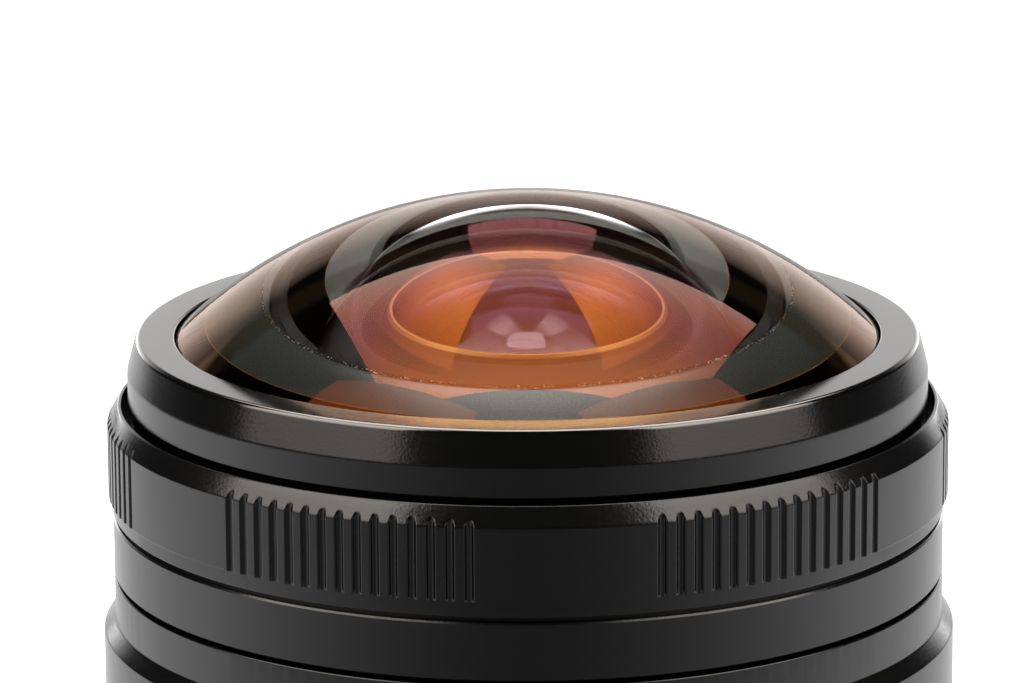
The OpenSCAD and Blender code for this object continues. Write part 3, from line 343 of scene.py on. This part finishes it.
holes = focus.modifiers.new("grub_holes", "BOOLEAN")
holes.operation = "DIFFERENCE"
holes.solver = "EXACT"
holes.object = drill
focus.modifiers.move(1, 0)
bpy.context.view_layer.update()
drilled = focus.evaluated_get(bpy.context.evaluated_depsgraph_get())
focus.data = bpy.data.meshes.new_from_object(drilled)
focus.modifiers.clear()
bpy.data.objects.remove(drill)

# Iris: six blades stamped from spring steel and blackened, between a base and a cover.
# A steel cam ring swings them, and an arm from the aperture ring turns it.
BLADES = 6

# Blackened spring steel: dark grey with a slight sheen.
blade_steel = surface_finish(
    "blackened_spring_steel", colours=("#26272a", "#1d1d20"), rough=(0.35, 0.5),
    lines=(0.08, 0.0004), grit=(0.06, 0.0004), metallic=0.6)
# Ground steel: a light grey with fine lines.
arm_steel = surface_finish(
    "ground_arm_steel", colours=("#a8a6a2", "#8f8c88"), rough=(0.25, 0.4),
    lines=(0.08, 0.0006), grit=(0.06, 0.0005), metallic=1.0)
dress(blade_steel, *("iris_blade_%d" % number for number in range(1, BLADES + 1)))
dress(arm_steel, "iris_cam_ring", "drive_arm")

# Inner elements: optical glass, ground, polished and coated against reflections.
# They sit in blackened cells under threaded retainers.
HAZE_WIDTH = 4


def coated_glass(name, ior, coat, rough):
    """Polished glass whose coat sets how much it mirrors and in which colour.

    A stop of the coat is the share that plain glass mirrors at an angle, with the coat's colour and share
    at that angle. Polishing leaves a trace of haze.
    """
    material = empty_material(name)
    tree = material.node_tree
    place = add(tree, "TexCoord", {})
    haze = add(tree, "TexNoise", {
        "Vector": (place, "Object"), "Scale": 1 / (HAZE_WIDTH * MM), "Detail": 5.0})
    gloss = add(tree, "MapRange", {"Value": (haze, "Fac"), "To Min": rough[0], "To Max": rough[1]})
    plain = add(tree, "Fresnel", {"IOR": ior})
    film = add(tree, "ValToRGB", {"Fac": (plain, "Fac")},
               stops=[(at, linear(hue)[:3] + [share]) for at, hue, share in coat])
    bend = add(tree, "BsdfRefraction", {
        "Color": linear("#ffffff"), "IOR": ior, "Roughness": (gloss, "Result")})
    mirror = add(tree, "BsdfGlossy", {"Color": (film, "Color"), "Roughness": (gloss, "Result")})
    both = add(tree, "MixShader", {0: (film, "Alpha"), 1: (bend, "BSDF"), 2: (mirror, "BSDF")})
    add(tree, "OutputMaterial", {"Surface": (both, "Shader")})
    return material


# Purple coat: clear glass with a very faint purple shine.
PURPLE_COAT = (
    (0.05, "#c8a0d8", 0.012), (0.10, "#c8a0d8", 0.04), (0.3, "#ffffff", 0.2), (1.0, "#ffffff", 1.0))
inner_glass = coated_glass("coated_inner_glass", ior=1.6, coat=PURPLE_COAT, rough=(0.0, 0.006))
# Pale coat: clear glass with a stronger pink-white shine, which gives the soft spot in the middle.
PALE_COAT = ((0.05, "#f0d8e8", 0.12), (0.3, "#ffffff", 0.25), (1.0, "#ffffff", 1.0))
rear_glass = coated_glass("coated_rear_glass", ior=1.6, coat=PALE_COAT, rough=(0.0, 0.006))
dress(inner_glass, "second_element")
dress(rear_glass, "third_element", "fourth_element", "doublet_crown", "doublet_flint")

# Front barrel: an anodised band with a hub that the aperture ring turns on, screwed to the inner barrel.
# A moulded black slip washer lies in the gap under the ring.

# Filled acetal: a dull black.
slip_black = surface_finish(
    "black_filled_acetal", colours=("#101010", "#161616"), rough=(0.35, 0.5),
    lines=(0.2, 0.0006), grit=(0.1, 0.0008))
dress(black_anodised, "front_barrel")
dress(slip_black, "slip_washer")

# Aperture ring: black anodised aluminium with six groups of flutes that run out through its conical edge.
# It turns on the front barrel's hub, held down by the bezel.
RING_R = 30.0
COLLAR_R = FOCUS_NECK_R
RING_BORE = 26.65
COLLAR_LOW = 42.02
RING_LOW = 43.12
RING_FLUTE_LOW = 42.92
RING_CHAMFER = 48.34
RING_TOP = 49.69
RING_TOP_R = 29.22
RIM_BORE = 29.0
RIM_FLOOR = 46.24
CHAMFER_EDGE = 0.10
RIM_EDGE = 0.08
ring_profile = rounded([
    (RING_BORE, COLLAR_LOW), (COLLAR_R, COLLAR_LOW, TURNED_EDGE),
    (COLLAR_R, RING_LOW, CRISP_EDGE), (RING_R, RING_LOW, TURNED_EDGE),
    (RING_R, RING_CHAMFER), (RING_TOP_R, RING_TOP, RIM_EDGE),
    (RIM_BORE, RING_TOP, BORE_EDGE), (RIM_BORE, RIM_FLOOR, BORE_EDGE),
    (RING_BORE, RIM_FLOOR)], CHAMFER_EDGE)

# More levels on the cone, where the flutes run out.
RUN_OUT_STEPS = 10
RUN_OUT_FROM = 0.05
RUN_OUT_WIDTH = 0.4
RUN_OUT_SLACK = 0.02
slope = (RING_TOP - RING_CHAMFER) / (RING_R - RING_TOP_R)
run_out = [RING_R - RUN_OUT_FROM - RUN_OUT_WIDTH * step / RUN_OUT_STEPS for step in range(RUN_OUT_STEPS + 1)]
ring_middle = (RING_LOW + RING_CHAMFER) / 2
edge_at = max(i for i, (r, z) in enumerate(ring_profile)
              if r > run_out[0] - RUN_OUT_SLACK and z > ring_middle)
ring_profile[edge_at + 1:edge_at + 1] = [(r, RING_CHAMFER + (RING_R - r) * slope) for r in run_out[1:]]
ring_levels = [(r, z, r > RIM_BORE and z > RING_FLUTE_LOW) for r, z in ring_profile]
ring = mesh_piece("aperture_ring_grip", fluted_ring(ring_levels, RING_R),
                  "aperture", "black_anodised", "aperture_ring")
ring.data.materials.append(black_anodised)

# Scale marks: numbers and index lines engraved in neck, band and collar and filled with white paint.
# They lie at the back: the iris opening on the band, the distance in metres on the neck.
# A line is (height, length), and a distance is (number, degrees of the focus ring's turn).
MARK_PROUD = 0.02
NUMBER_SIZE = 2.0
LINE_W = 0.28
BAND_NUMBER_Z = 39.7
BAND_TICK = (41.2, 0.6)
FOCUS_INDEX = (38.05, 0.8)
NECK_NUMBER_Z = 35.75
COLLAR_LINE = (42.57, 0.8)
OPENINGS = ("2.8", "4", "5.6", "8", "11", "16")
OPENING_FIRST = 66
OPENING_TURN = 48
DISTANCES = (("\u221e", 0), ("1", 24), (".5", 42), (".3", 58), (".2", 72), (".15", 86))
DISTANCE_INDEX = 112


def wrap(verts, angle, height):
    """Bends a flat mark, drawn round its own middle, onto the radius that neck, band and collar share."""
    for vert in verts:
        turn = math.radians(angle) + vert.co.x / COLLAR_R
        reach = (COLLAR_R + vert.co.z) * MM
        vert.co = (reach * math.cos(turn), reach * math.sin(turn), (height + vert.co.y) * MM)


def ring_marks(name, body, numbers, lines):
    """Paints numbers, (text, angle, height), and upright lines, (angle, height, length), on a ring."""
    shape = bmesh.new()
    for text, angle, height in numbers:
        letters = bpy.data.curves.new("number", "FONT")
        letters.body = text
        letters.size = NUMBER_SIZE
        letters.align_x = "CENTER"
        letters.align_y = "CENTER"
        letters.extrude = MARK_PROUD
        writing = bpy.data.objects.new("number", letters)
        flat = bpy.data.meshes.new_from_object(writing)
        made = len(shape.verts)
        shape.from_mesh(flat)
        shape.verts.ensure_lookup_table()
        wrap(shape.verts[made:], angle, height)
        bpy.data.objects.remove(writing)
        bpy.data.curves.remove(letters)
        bpy.data.meshes.remove(flat)
    for angle, height, length in lines:
        size = Matrix.Diagonal((LINE_W, length, 2 * MARK_PROUD, 1.0))
        bar = bmesh.ops.create_cube(shape, size=1.0, matrix=size)
        wrap(bar["verts"], angle, height)
    bmesh.ops.recalc_face_normals(shape, faces=shape.faces)
    marks = mesh_piece(name, shape, body, "index_bead")
    marks.data.materials.append(mark_paint)


# White filling paint: dull and slightly uneven in the engraving.
mark_paint = surface_finish(
    "white_filling_paint", colours=("#e4e2dc", "#d6d3cb"), rough=(0.4, 0.55),
    lines=(0.3, 0.0004), grit=(0.1, 0.001))
opening_step = OPENING_TURN / (len(OPENINGS) - 1)
opening_at = [OPENING_FIRST + opening_step * number for number in range(len(OPENINGS))]
ring_marks("band_marks", "optical_block",
           [(text, angle, BAND_NUMBER_Z) for text, angle in zip(OPENINGS, opening_at)],
           [(angle, *BAND_TICK) for angle in opening_at] + [(DISTANCE_INDEX, *FOCUS_INDEX)])
ring_marks("distance_marks", "focus",
           [(text, DISTANCE_INDEX - turn, NECK_NUMBER_Z) for text, turn in DISTANCES], [])
ring_marks("aperture_index_mark", "aperture", [], [(OPENING_FIRST, *COLLAR_LINE)])

# Second retainer: a threaded brass ring, turned and blackened, that holds the second element in its cell.
# Its conical hood rises to just under the front element's hollow and keeps stray light off the glass's edge.
RETAINER_R = 14.88
RETAINER_BORE = 13.05
RETAINER_LOW = 48.8
RETAINER_TOP = 50.4
RETAINER_FOOT = 0.8
RETAINER_EDGE = 0.04
RETAINER_STEPS = 192
HOOD_R = 11.4
HOOD_BEVEL = 0.6
HOOD_FLAT = 0.2
HOOD_HIGHLIGHT_EDGE = 0.24
HOOD_TOP = 51.6
HOOD_DEEP = 0.7


def spun(profile, steps):
    """Spins a closed or axis-to-axis profile of (radius, height) once round the axis."""
    shape = bmesh.new()
    verts = [shape.verts.new((r * MM, 0.0, z * MM)) for r, z in profile]
    edges = [shape.edges.new(pair) for pair in zip(verts, verts[1:])]
    if profile[0][0] > 0:
        edges.append(shape.edges.new((verts[-1], verts[0])))
    bmesh.ops.spin(shape, geom=verts + edges, cent=(0, 0, 0), axis=(0, 0, 1), angle=2 * math.pi,
                   steps=steps, use_merge=True, use_duplicate=False)
    bmesh.ops.remove_doubles(shape, verts=shape.verts, dist=MERGE_WITHIN)
    bmesh.ops.recalc_face_normals(shape, faces=shape.faces)
    return shape


hood_top_r = HOOD_R - HOOD_BEVEL
hood_bore = hood_top_r - HOOD_FLAT
retainer_profile = rounded([
    (RETAINER_BORE, RETAINER_LOW), (RETAINER_R, RETAINER_LOW),
    (RETAINER_R, RETAINER_TOP), (RETAINER_BORE, RETAINER_TOP),
    (HOOD_R, HOOD_TOP - HOOD_BEVEL), (hood_top_r + HOOD_HIGHLIGHT_EDGE, HOOD_TOP - HOOD_HIGHLIGHT_EDGE),
    (hood_top_r, HOOD_TOP), (hood_bore, HOOD_TOP),
    (hood_bore, HOOD_TOP - HOOD_DEEP), (RETAINER_BORE, RETAINER_LOW + RETAINER_FOOT)], RETAINER_EDGE)
retainer_shape = spun(retainer_profile, RETAINER_STEPS)
# Faces on the hood's top edge take the brass, which is partly wear and partly a painted highlight.
for face in retainer_shape.faces:
    face.material_index = int(face.calc_center_median().z > (HOOD_TOP - HOOD_HIGHLIGHT_EDGE) * MM)
retainer = mesh_piece("brass_retainer", retainer_shape, "optical_block", "blackened_cell", "second_retainer")
# Bare brass on the hood's edge, partly wear of the blacking and partly a painted highlight: a dull gold line
# under the glass.
wear_and_highlight_brass = surface_finish(
    "wear_and_highlight_brass", colours=("#b58a5c", "#a37a50"), rough=(0.42, 0.55),
    lines=(0.12, 0.0012), grit=(0.06, 0.0005), metallic=1.0)
retainer.data.materials.append(blackened)
retainer.data.materials.append(wear_and_highlight_brass)

# Front seals: a rubber gasket under the bezel's lip, an amber film shim that sets the glass's height,
# and a black card mask behind the flat back. All are punched flat rings, held between barrel and bezel.

# Nitrile rubber: a soft matt black.
rubber = surface_finish(
    "black_nitrile_rubber", colours=("#151515", "#1c1c1c"), rough=(0.55, 0.7),
    lines=(0.3, 0.0008), grit=(0.12, 0.0015))
# Polyester film: smooth amber brown with a soft gloss.
amber_film = surface_finish(
    "amber_polyester_film", colours=("#b4722c", "#a5652a"), rough=(0.3, 0.4),
    lines=(0.3, 0.0003), grit=(0.2, 0.0004))
# Black card: dead matt.
matt_mask = surface_finish(
    "matt_black_card", colours=("#0e0e0e", "#141414"), rough=(0.75, 0.9),
    lines=(0.3, 0.0006), grit=(0.1, 0.002))
dress(rubber, "front_gasket")
dress(amber_film, "front_shim")
dress(matt_mask, "front_mask")

# Front element: a thick meniscus of high-index glass, ground and polished, its dome amber coated.
# The flat back, the step and the edge are painted grey-green, lightened past the paint's own dark tone as
# painted light. At the rim an amber ring stands for the shim, its brightness partly a painted reflection.
DOME_R = 37.24
DOME_EDGE = 25.0
DOME_CENTRE = 26.72
DOME_STEPS = 64
STEP_R = 26.1
STEP_TOP = 52.94
BACK_Z = 51.94
HOLLOW_EDGE = 15.9
HOLLOW_R = 17.8
HOLLOW_CENTRE = 43.937
HOLLOW_STEPS = 48
EDGE_GRIND = 0.03
EDGE_DROP = 0.045
RIM_GRIND = 0.09
SHIM_IN = 20.45
ROUND_STEPS = 256
SHARP_EDGE = math.radians(8)


def arc(centre, radius, start, end, steps):
    """Points on a sphere's section from one distance off the axis to another."""
    angles = [math.asin(r / radius) for r in (start, end)]
    turns = [angles[0] + (angles[1] - angles[0]) * i / steps for i in range(steps + 1)]
    return [(radius * math.sin(t), centre + radius * math.cos(t)) for t in turns]


dome = arc(DOME_CENTRE, DOME_R, 0.0, DOME_EDGE - EDGE_GRIND, DOME_STEPS)
hollow = arc(HOLLOW_CENTRE, HOLLOW_R, HOLLOW_EDGE - RIM_GRIND, 0.0, HOLLOW_STEPS)
dome_low = dome[-1][1]
glass_profile = dome + [
    (DOME_EDGE, dome_low - EDGE_DROP), (DOME_EDGE, STEP_TOP), (STEP_R - EDGE_GRIND, STEP_TOP),
    (STEP_R, STEP_TOP - EDGE_GRIND), (STEP_R, BACK_Z + EDGE_GRIND), (STEP_R - EDGE_GRIND, BACK_Z),
    (SHIM_IN, BACK_Z), (HOLLOW_EDGE, BACK_Z)] + hollow
glass_shape = spun(glass_profile, ROUND_STEPS)
DOME_FACE, HOLLOW_FACE, GROUND_FACE, PAINT_AND_LIGHT_FACE, FILM_AND_REFLECTION_FACE = range(5)
for face in glass_shape.faces:
    middle = face.calc_center_median() / MM
    reach = math.hypot(middle.x, middle.y)
    from_dome = math.hypot(reach, middle.z - DOME_CENTRE)
    if from_dome > DOME_R - 2 * EDGE_GRIND:
        face.material_index = DOME_FACE
    elif reach < HOLLOW_EDGE - RIM_GRIND:
        face.material_index = HOLLOW_FACE
    elif reach < HOLLOW_EDGE:
        face.material_index = GROUND_FACE
    # Faces past the shim's inner edge on the flat back take the amber, which is partly a painted reflection.
    elif reach > SHIM_IN and middle.z < BACK_Z + EDGE_GRIND / 2:
        face.material_index = FILM_AND_REFLECTION_FACE
    # The rest of the back, step and edge take the grey-green, lightened as painted light.
    else:
        face.material_index = PAINT_AND_LIGHT_FACE
for edge in glass_shape.edges:
    if len(edge.link_faces) == 2 and edge.calc_face_angle(0.0) > SHARP_EDGE:
        edge.smooth = False
glass = mesh_piece("front_glass", glass_shape, "optical_block", "front_glass", "front_element")

# Amber coat: golden seen straight on, a faint rose further out and pale at a grazing angle.
# The narrow golden peak near 63 degrees shows in the bezel's mirrored top, and is matched.
AMBER_COAT = (
    (0.067, "#ff8c34", 0.10), (0.074, "#ff882e", 0.075), (0.078, "#ff8432", 0.05),
    (0.085, "#ff8260", 0.040), (0.095, "#ff8c7c", 0.042), (0.105, "#ffa08c", 0.060),
    (0.127, "#ffdcd0", 0.075), (0.135, "#ffcc90", 0.46), (0.156, "#ffcc90", 0.46),
    (0.168, "#ffd0b4", 0.125), (0.31, "#ffe2d2", 0.14), (0.8, "#ffffff", 0.4), (1.0, "#ffffff", 1.0))
# Orange coat: deep orange seen straight on, rose towards the hollow's rim.
ORANGE_COAT = (
    (0.067, "#ff9430", 0.14), (0.073, "#ff8e40", 0.12), (0.079, "#ff8890", 0.045),
    (0.107, "#ffa0a8", 0.06), (0.2, "#ffb8bc", 0.07), (0.4, "#ffffff", 0.4), (1.0, "#ffffff", 1.0))
SPECK_SOFT = 0.06
PAINT_RELIEF = 0.01
PAINT_IOR = 1.8


def edge_paint(name, colours, speck, share, rough):
    """Paint or film on ground glass in two colours; the second is in specks, a size in mm.

    The specks lie where the pattern is above the share, so that a higher share gives fewer of them.
    """
    material = empty_material(name)
    tree = material.node_tree
    place = add(tree, "TexCoord", {})
    chip = add(tree, "TexNoise", {"Vector": (place, "Object"), "Scale": 1 / (speck * MM), "Detail": 3.0})
    mark = add(tree, "MapRange", {
        "Value": (chip, "Fac"), "From Min": share, "From Max": share + SPECK_SOFT})
    shade = add(tree, "MixRGB", {
        "Fac": (mark, "Result"), "Color1": linear(colours[0]), "Color2": linear(colours[1])})
    relief = add(tree, "Bump", {"Height": (chip, "Fac"), "Distance": PAINT_RELIEF * MM})
    surface = add(tree, "BsdfPrincipled", {
        "Base Color": (shade, "Color"), "Roughness": rough, "IOR": PAINT_IOR, "Normal": (relief, "Normal")})
    add(tree, "OutputMaterial", {"Surface": (surface, "BSDF")})
    return material


glass.data.materials.append(
    coated_glass("amber_coated_lanthanum_glass", ior=1.7, coat=AMBER_COAT, rough=(0.0, 0.004)))
glass.data.materials.append(
    coated_glass("orange_coated_hollow_glass", ior=1.7, coat=ORANGE_COAT, rough=(0.0, 0.004)))
# Ground edge: matt black paint with chalky specks where the glass is chipped.
glass.data.materials.append(
    edge_paint("ground_glass_edge", colours=("#0c0c0b", "#f0ece2"), speck=0.13, share=0.57, rough=0.85))
# Edge paint: a satin grey-green, finely mottled, and lighter than the dark paint itself: painted light for
# the light that falls on it.
glass.data.materials.append(
    edge_paint("grey_green_paint_with_painted_light", colours=("#2b302c", "#4a5049"), speck=0.14, share=0.48, rough=0.36))
# Film against the glass: a satin amber ring at the rim, its bright amber partly the film's colour and partly
# a painted reflection.
glass.data.materials.append(
    edge_paint("amber_film_and_painted_reflection", colours=("#d09050", "#dc9c60"), speck=0.14, share=0.48, rough=0.34))

# Front bezel: a black anodised aluminium ring with a leaning flank and a flat top.
# It is screwed onto the front barrel, and its lip holds the front element down.
BEZEL_R = 28.5
BEZEL_RELIEF_R = 28.1
BEZEL_LOW = 46.64
BEZEL_RELIEF = 49.94
BEZEL_TOP = 54.541
FLANK_HEIGHT = 2.48
FLANK_IN = 0.65
FLANK_LEAN = math.atan2(FLANK_IN, FLANK_HEIGHT)
FLANK_EDGE = 0.15
CROWN_R = 0.4
CROWN_STEPS = 16
LIP_R = 25.1
LIP_LOW = 53.24
LIP_EDGE = 0.14
STEP_BORE = 26.15
STEP_LOW = 51.84
THREAD_BORE = 26.62
THREAD_EDGE = 0.08
SATIN_DEPTH = 0.3
crown_sweep = math.pi / 2 - FLANK_LEAN
crown_at = (BEZEL_R - FLANK_IN - CROWN_R * math.tan(crown_sweep / 2), BEZEL_TOP - CROWN_R)
crown_turns = [FLANK_LEAN + crown_sweep * step / CROWN_STEPS for step in range(CROWN_STEPS + 1)]
crown = [(crown_at[0] + CROWN_R * math.cos(turn), crown_at[1] + CROWN_R * math.sin(turn))
         for turn in crown_turns]
corner_points = CORNER_STEPS + 1
bezel_outer = rounded([
    (THREAD_BORE, BEZEL_LOW), (BEZEL_RELIEF_R, BEZEL_LOW), (BEZEL_RELIEF_R, BEZEL_RELIEF, CRISP_EDGE),
    (BEZEL_R, BEZEL_RELIEF), (BEZEL_R, BEZEL_TOP - FLANK_HEIGHT, FLANK_EDGE), crown[0]], TURNED_EDGE)
bezel_inner = rounded([
    crown[-1], (LIP_R, BEZEL_TOP, LIP_EDGE), (LIP_R, LIP_LOW), (STEP_BORE, LIP_LOW, CRISP_EDGE),
    (STEP_BORE, STEP_LOW), (THREAD_BORE, STEP_LOW, CRISP_EDGE), (THREAD_BORE, BEZEL_LOW)], THREAD_EDGE)
bezel_profile = bezel_outer[:-corner_points] + crown + bezel_inner[corner_points:-corner_points]
bezel_shape = spun(bezel_profile, ROUND_STEPS)
for face in bezel_shape.faces:
    face.material_index = int(face.calc_center_median().z > (BEZEL_TOP - SATIN_DEPTH) * MM)
bezel = mesh_piece("front_bezel_ring", bezel_shape, "optical_block", "black_anodised", "front_bezel")
# The top face is blasted finer and sealed: a grey satin that catches the light at a low angle.
satin_anodised = surface_finish(
    "satin_anodised_aluminium", colours=("#6a6866", "#73716f"), rough=(0.08, 0.15),
    lines=(0.12, 0.0006), grit=(0.16, 0.0024), metallic=1.0)
bezel.data.materials.append(black_anodised)
bezel.data.materials.append(satin_anodised)

# Camera: a long lens from the front, a little above the rim and looking down on it.
# Its place, like all of the studio, is in metres.
FOCAL = 206.64
SENSOR = 36.0
NEAR = 0.01
EYE = (0.0, -0.40602, 0.15581)
PITCH = math.radians(14.12247)
YAW = math.radians(-0.15543)
ROLL = math.radians(-0.309598)
ahead = Vector((math.sin(YAW) * math.cos(PITCH), math.cos(YAW) * math.cos(PITCH), -math.sin(PITCH)))
level_right = Vector((math.cos(YAW), -math.sin(YAW), 0.0))
level_up = level_right.cross(ahead)
right = level_right * math.cos(ROLL) + level_up * math.sin(ROLL)
above = level_up * math.cos(ROLL) - level_right * math.sin(ROLL)
camera_data = bpy.data.cameras.new("camera")
camera_data.lens = FOCAL
camera_data.sensor_width = SENSOR
camera_data.clip_start = NEAR
camera = bpy.data.objects.new("camera", camera_data)
camera.matrix_world = Matrix.Translation(EYE) @ Matrix((right, above, -ahead)).transposed().to_4x4()
bpy.context.scene.collection.objects.link(camera)
bpy.context.scene.camera = camera

# Floor: a table with pale matt paint. A little glow helps it to white for the camera, and the shadow stays.
# What glass and metal mirror of it is a painted reflection, a glow that falls off towards the front and
# fades out between two lines sideways.
FLOOR_HALF = 4.0
FLOOR_HELP = 0.35
FLOOR_FRONT = 0.12
FLOOR_BACK = 1.0
MIRROR_FADE_SIDES = (0.25, 0.55)
MIRROR_FADE_END = 0.1
FLOOR_CORNERS = ((-1, -1), (1, -1), (1, 1), (-1, 1))


def flat_card(name, corners, material):
    """A flat stage card from its corners."""
    shape = bmesh.new()
    shape.faces.new([shape.verts.new(corner) for corner in corners])
    mesh = bpy.data.meshes.new(name)
    shape.to_mesh(mesh)
    shape.free()
    card = bpy.data.objects.new(name, mesh)
    card.data.materials.append(material)
    bpy.context.scene.collection.objects.link(card)
    return card


# Matt paint: an even pale grey without gloss.
floor_paint = empty_material("pale_matt_paint")
tree = floor_paint.node_tree
path = add(tree, "LightPath", {})
matt = add(tree, "BsdfDiffuse", {"Color": linear("#e9e9e9")})
lift = add(tree, "Math", {0: (path, "Is Camera Ray"), 1: FLOOR_HELP}, operation="MULTIPLY")
glow = add(tree, "Emission", {"Color": linear("#ffffff"), "Strength": (lift, "Value")})
both = add(tree, "AddShader", {0: (matt, "BSDF"), 1: (glow, "Emission")})
place = add(tree, "TexCoord", {})
round_lens = add(tree, "VectorMath", {"Vector": (place, "Object")}, operation="NORMALIZE")
split = add(tree, "SeparateXYZ", {"Vector": (round_lens, "Vector")})
fall = add(tree, "MapRange", {
    "Value": (split, "Y"), "From Min": -1.0, "From Max": 0.0, "To Min": FLOOR_FRONT, "To Max": FLOOR_BACK})
across = add(tree, "SeparateXYZ", {"Vector": (place, "Object")})
sideways = add(tree, "Math", {0: (across, "X")}, operation="ABSOLUTE")
ends = add(tree, "MapRange", {
    "Value": (sideways, "Value"), "From Min": MIRROR_FADE_SIDES[0], "From Max": MIRROR_FADE_SIDES[1],
    "To Min": 1.0, "To Max": MIRROR_FADE_END})
painted_reflection_share = add(tree, "Math", {0: (fall, "Result"), 1: (ends, "Result")}, operation="MULTIPLY")
# For glossy rays the floor is a painted reflection: a glow set by place, brightest behind and fading to the
# front and sides.
mirrored = add(tree, "Emission", {"Color": linear("#ffffff"), "Strength": (painted_reflection_share, "Value")})
seen = add(tree, "MixShader", {0: (path, "Is Glossy Ray"), 1: (both, "Shader"), 2: (mirrored, "Emission")})
add(tree, "OutputMaterial", {"Surface": (seen, "Shader")})
flat_card("floor", [(x * FLOOR_HALF, y * FLOOR_HALF, 0) for x, y in FLOOR_CORNERS], floor_paint)

# Softboxes: a wide one overhead and behind, and a tall leaning one on each side in front.
# Each is a lit cloth in a frame, and the side cloths are dimmer at their tops and towards the floor:
# a step of their fade is (height, share of the light).
CLOTH = "#fff6ee"
LENS_TOP = 0.064
OVERHEAD = 0.56
OVERHEAD_LIGHT = 4.3
OVERHEAD_OUTLINE = ((-0.66, 1.04), (-0.47, -0.05), (0.55, -0.05), (0.80, 0.98))
EVEN = ((0.0, 1.0), (1.0, 1.0))
SIDE_LIGHT = 3.2
SIDE_FADE = ((0.08, 0.26), (0.17, 0.40), (0.33, 1.0), (0.36, 1.0), (0.45, 0.36))
SIDE_TOP = ((-0.17, -0.16, 1.0), (-0.67, 0.27, 1.0))
SIDE_TOP_AT = 0.45
SIDE_LOW_AT = 0.60
SIDE_LOW_ROUND = (math.radians(84), math.radians(35))
SIDE_LOW_UP = math.radians(2)


def glowing(name, peak, fade):
    """Light from a softbox's cloth, as strong as its peak and faded by height."""
    material = empty_material(name)
    tree = material.node_tree
    place = add(tree, "TexCoord", {})
    split = add(tree, "SeparateXYZ", {"Vector": (place, "Object")})
    level = add(tree, "ValToRGB", {"Fac": (split, "Z")},
                stops=[(at, [part * share for part in linear(CLOTH)]) for at, share in fade])
    cloth = add(tree, "Emission", {"Color": (level, "Color"), "Strength": peak})
    add(tree, "OutputMaterial", {"Surface": (cloth, "Emission")})
    return material


def softbox(name, corners, material):
    """A softbox's cloth, unseen by the camera, from corners that are measured from the lens's top."""
    cloth = flat_card(name, [Vector(corner) + Vector((0, 0, LENS_TOP)) for corner in corners], material)
    cloth.visible_camera = False


# Softbox cloth: a soft, slightly warm glow.
overhead_cloth = glowing("overhead_cloth", OVERHEAD_LIGHT, EVEN)
side_cloth = glowing("side_cloth", SIDE_LIGHT, SIDE_FADE)
softbox("overhead_softbox", [(x * OVERHEAD, y * OVERHEAD, OVERHEAD) for x, y in OVERHEAD_OUTLINE],
        overhead_cloth)
for side, name in ((1, "side_softbox_left"), (-1, "side_softbox_right")):
    corners = [Vector((side * x, y, z)).normalized() * SIDE_TOP_AT for x, y, z in SIDE_TOP]
    for turn in SIDE_LOW_ROUND:
        low = Vector((-side * math.sin(turn) * math.cos(SIDE_LOW_UP),
                      -math.cos(turn) * math.cos(SIDE_LOW_UP), math.sin(SIDE_LOW_UP)))
        corners.append(low * SIDE_LOW_AT)
    softbox(name, corners, side_cloth)

# Backdrop: a white sheet behind the table, brighter towards its sides, in a room that is otherwise dark.
# Its edges are sines of the angle sideways and upwards, from full light to none, and the light is given
# in its middle and at its sides. The camera sees plain white.
BACKDROP_LIGHT = (2.0, 4.1)
BACKDROP_SIDE = (0.40, 0.66)
BACKDROP_UP = (0.05, 0.42)
ROOM_LIGHT = 0.02
world = bpy.data.worlds.new("studio")
bpy.context.scene.world = world
world.use_nodes = True
tree = world.node_tree
tree.nodes.clear()
way = add(tree, "TexCoord", {})
split = add(tree, "SeparateXYZ", {"Vector": (way, "Generated")})
sideways = add(tree, "Math", {0: (split, "X")}, operation="ABSOLUTE")
behind = add(tree, "Math", {0: (split, "Y"), 1: 0.0}, operation="GREATER_THAN")
within = add(tree, "MapRange", {
    "Value": (sideways, "Value"), "From Min": BACKDROP_SIDE[1], "From Max": BACKDROP_SIDE[0]})
below = add(tree, "MapRange", {
    "Value": (split, "Z"), "From Min": BACKDROP_UP[1], "From Max": BACKDROP_UP[0]})
sheet = add(tree, "Math", {0: (behind, "Value"), 1: (within, "Result")}, operation="MULTIPLY")
cloth = add(tree, "Math", {0: (sheet, "Value"), 1: (below, "Result")}, operation="MULTIPLY")
level = add(tree, "MapRange", {
    "Value": (sideways, "Value"), "From Max": BACKDROP_SIDE[0],
    "To Min": BACKDROP_LIGHT[0], "To Max": BACKDROP_LIGHT[1]})
bright = add(tree, "Math", {0: (cloth, "Value"), 1: (level, "Result")}, operation="MULTIPLY")
room = add(tree, "Math", {0: (bright, "Value"), 1: ROOM_LIGHT}, operation="MAXIMUM")
path = add(tree, "LightPath", {})
seen = add(tree, "Math", {0: (room, "Value"), 1: (path, "Is Camera Ray")}, operation="MAXIMUM")
sky = add(tree, "Background", {"Color": linear("#ffffff"), "Strength": (seen, "Value")})
add(tree, "OutputWorld", {"Surface": (sky, "Background")})
bpy.context.scene.view_settings.view_transform = "Standard"
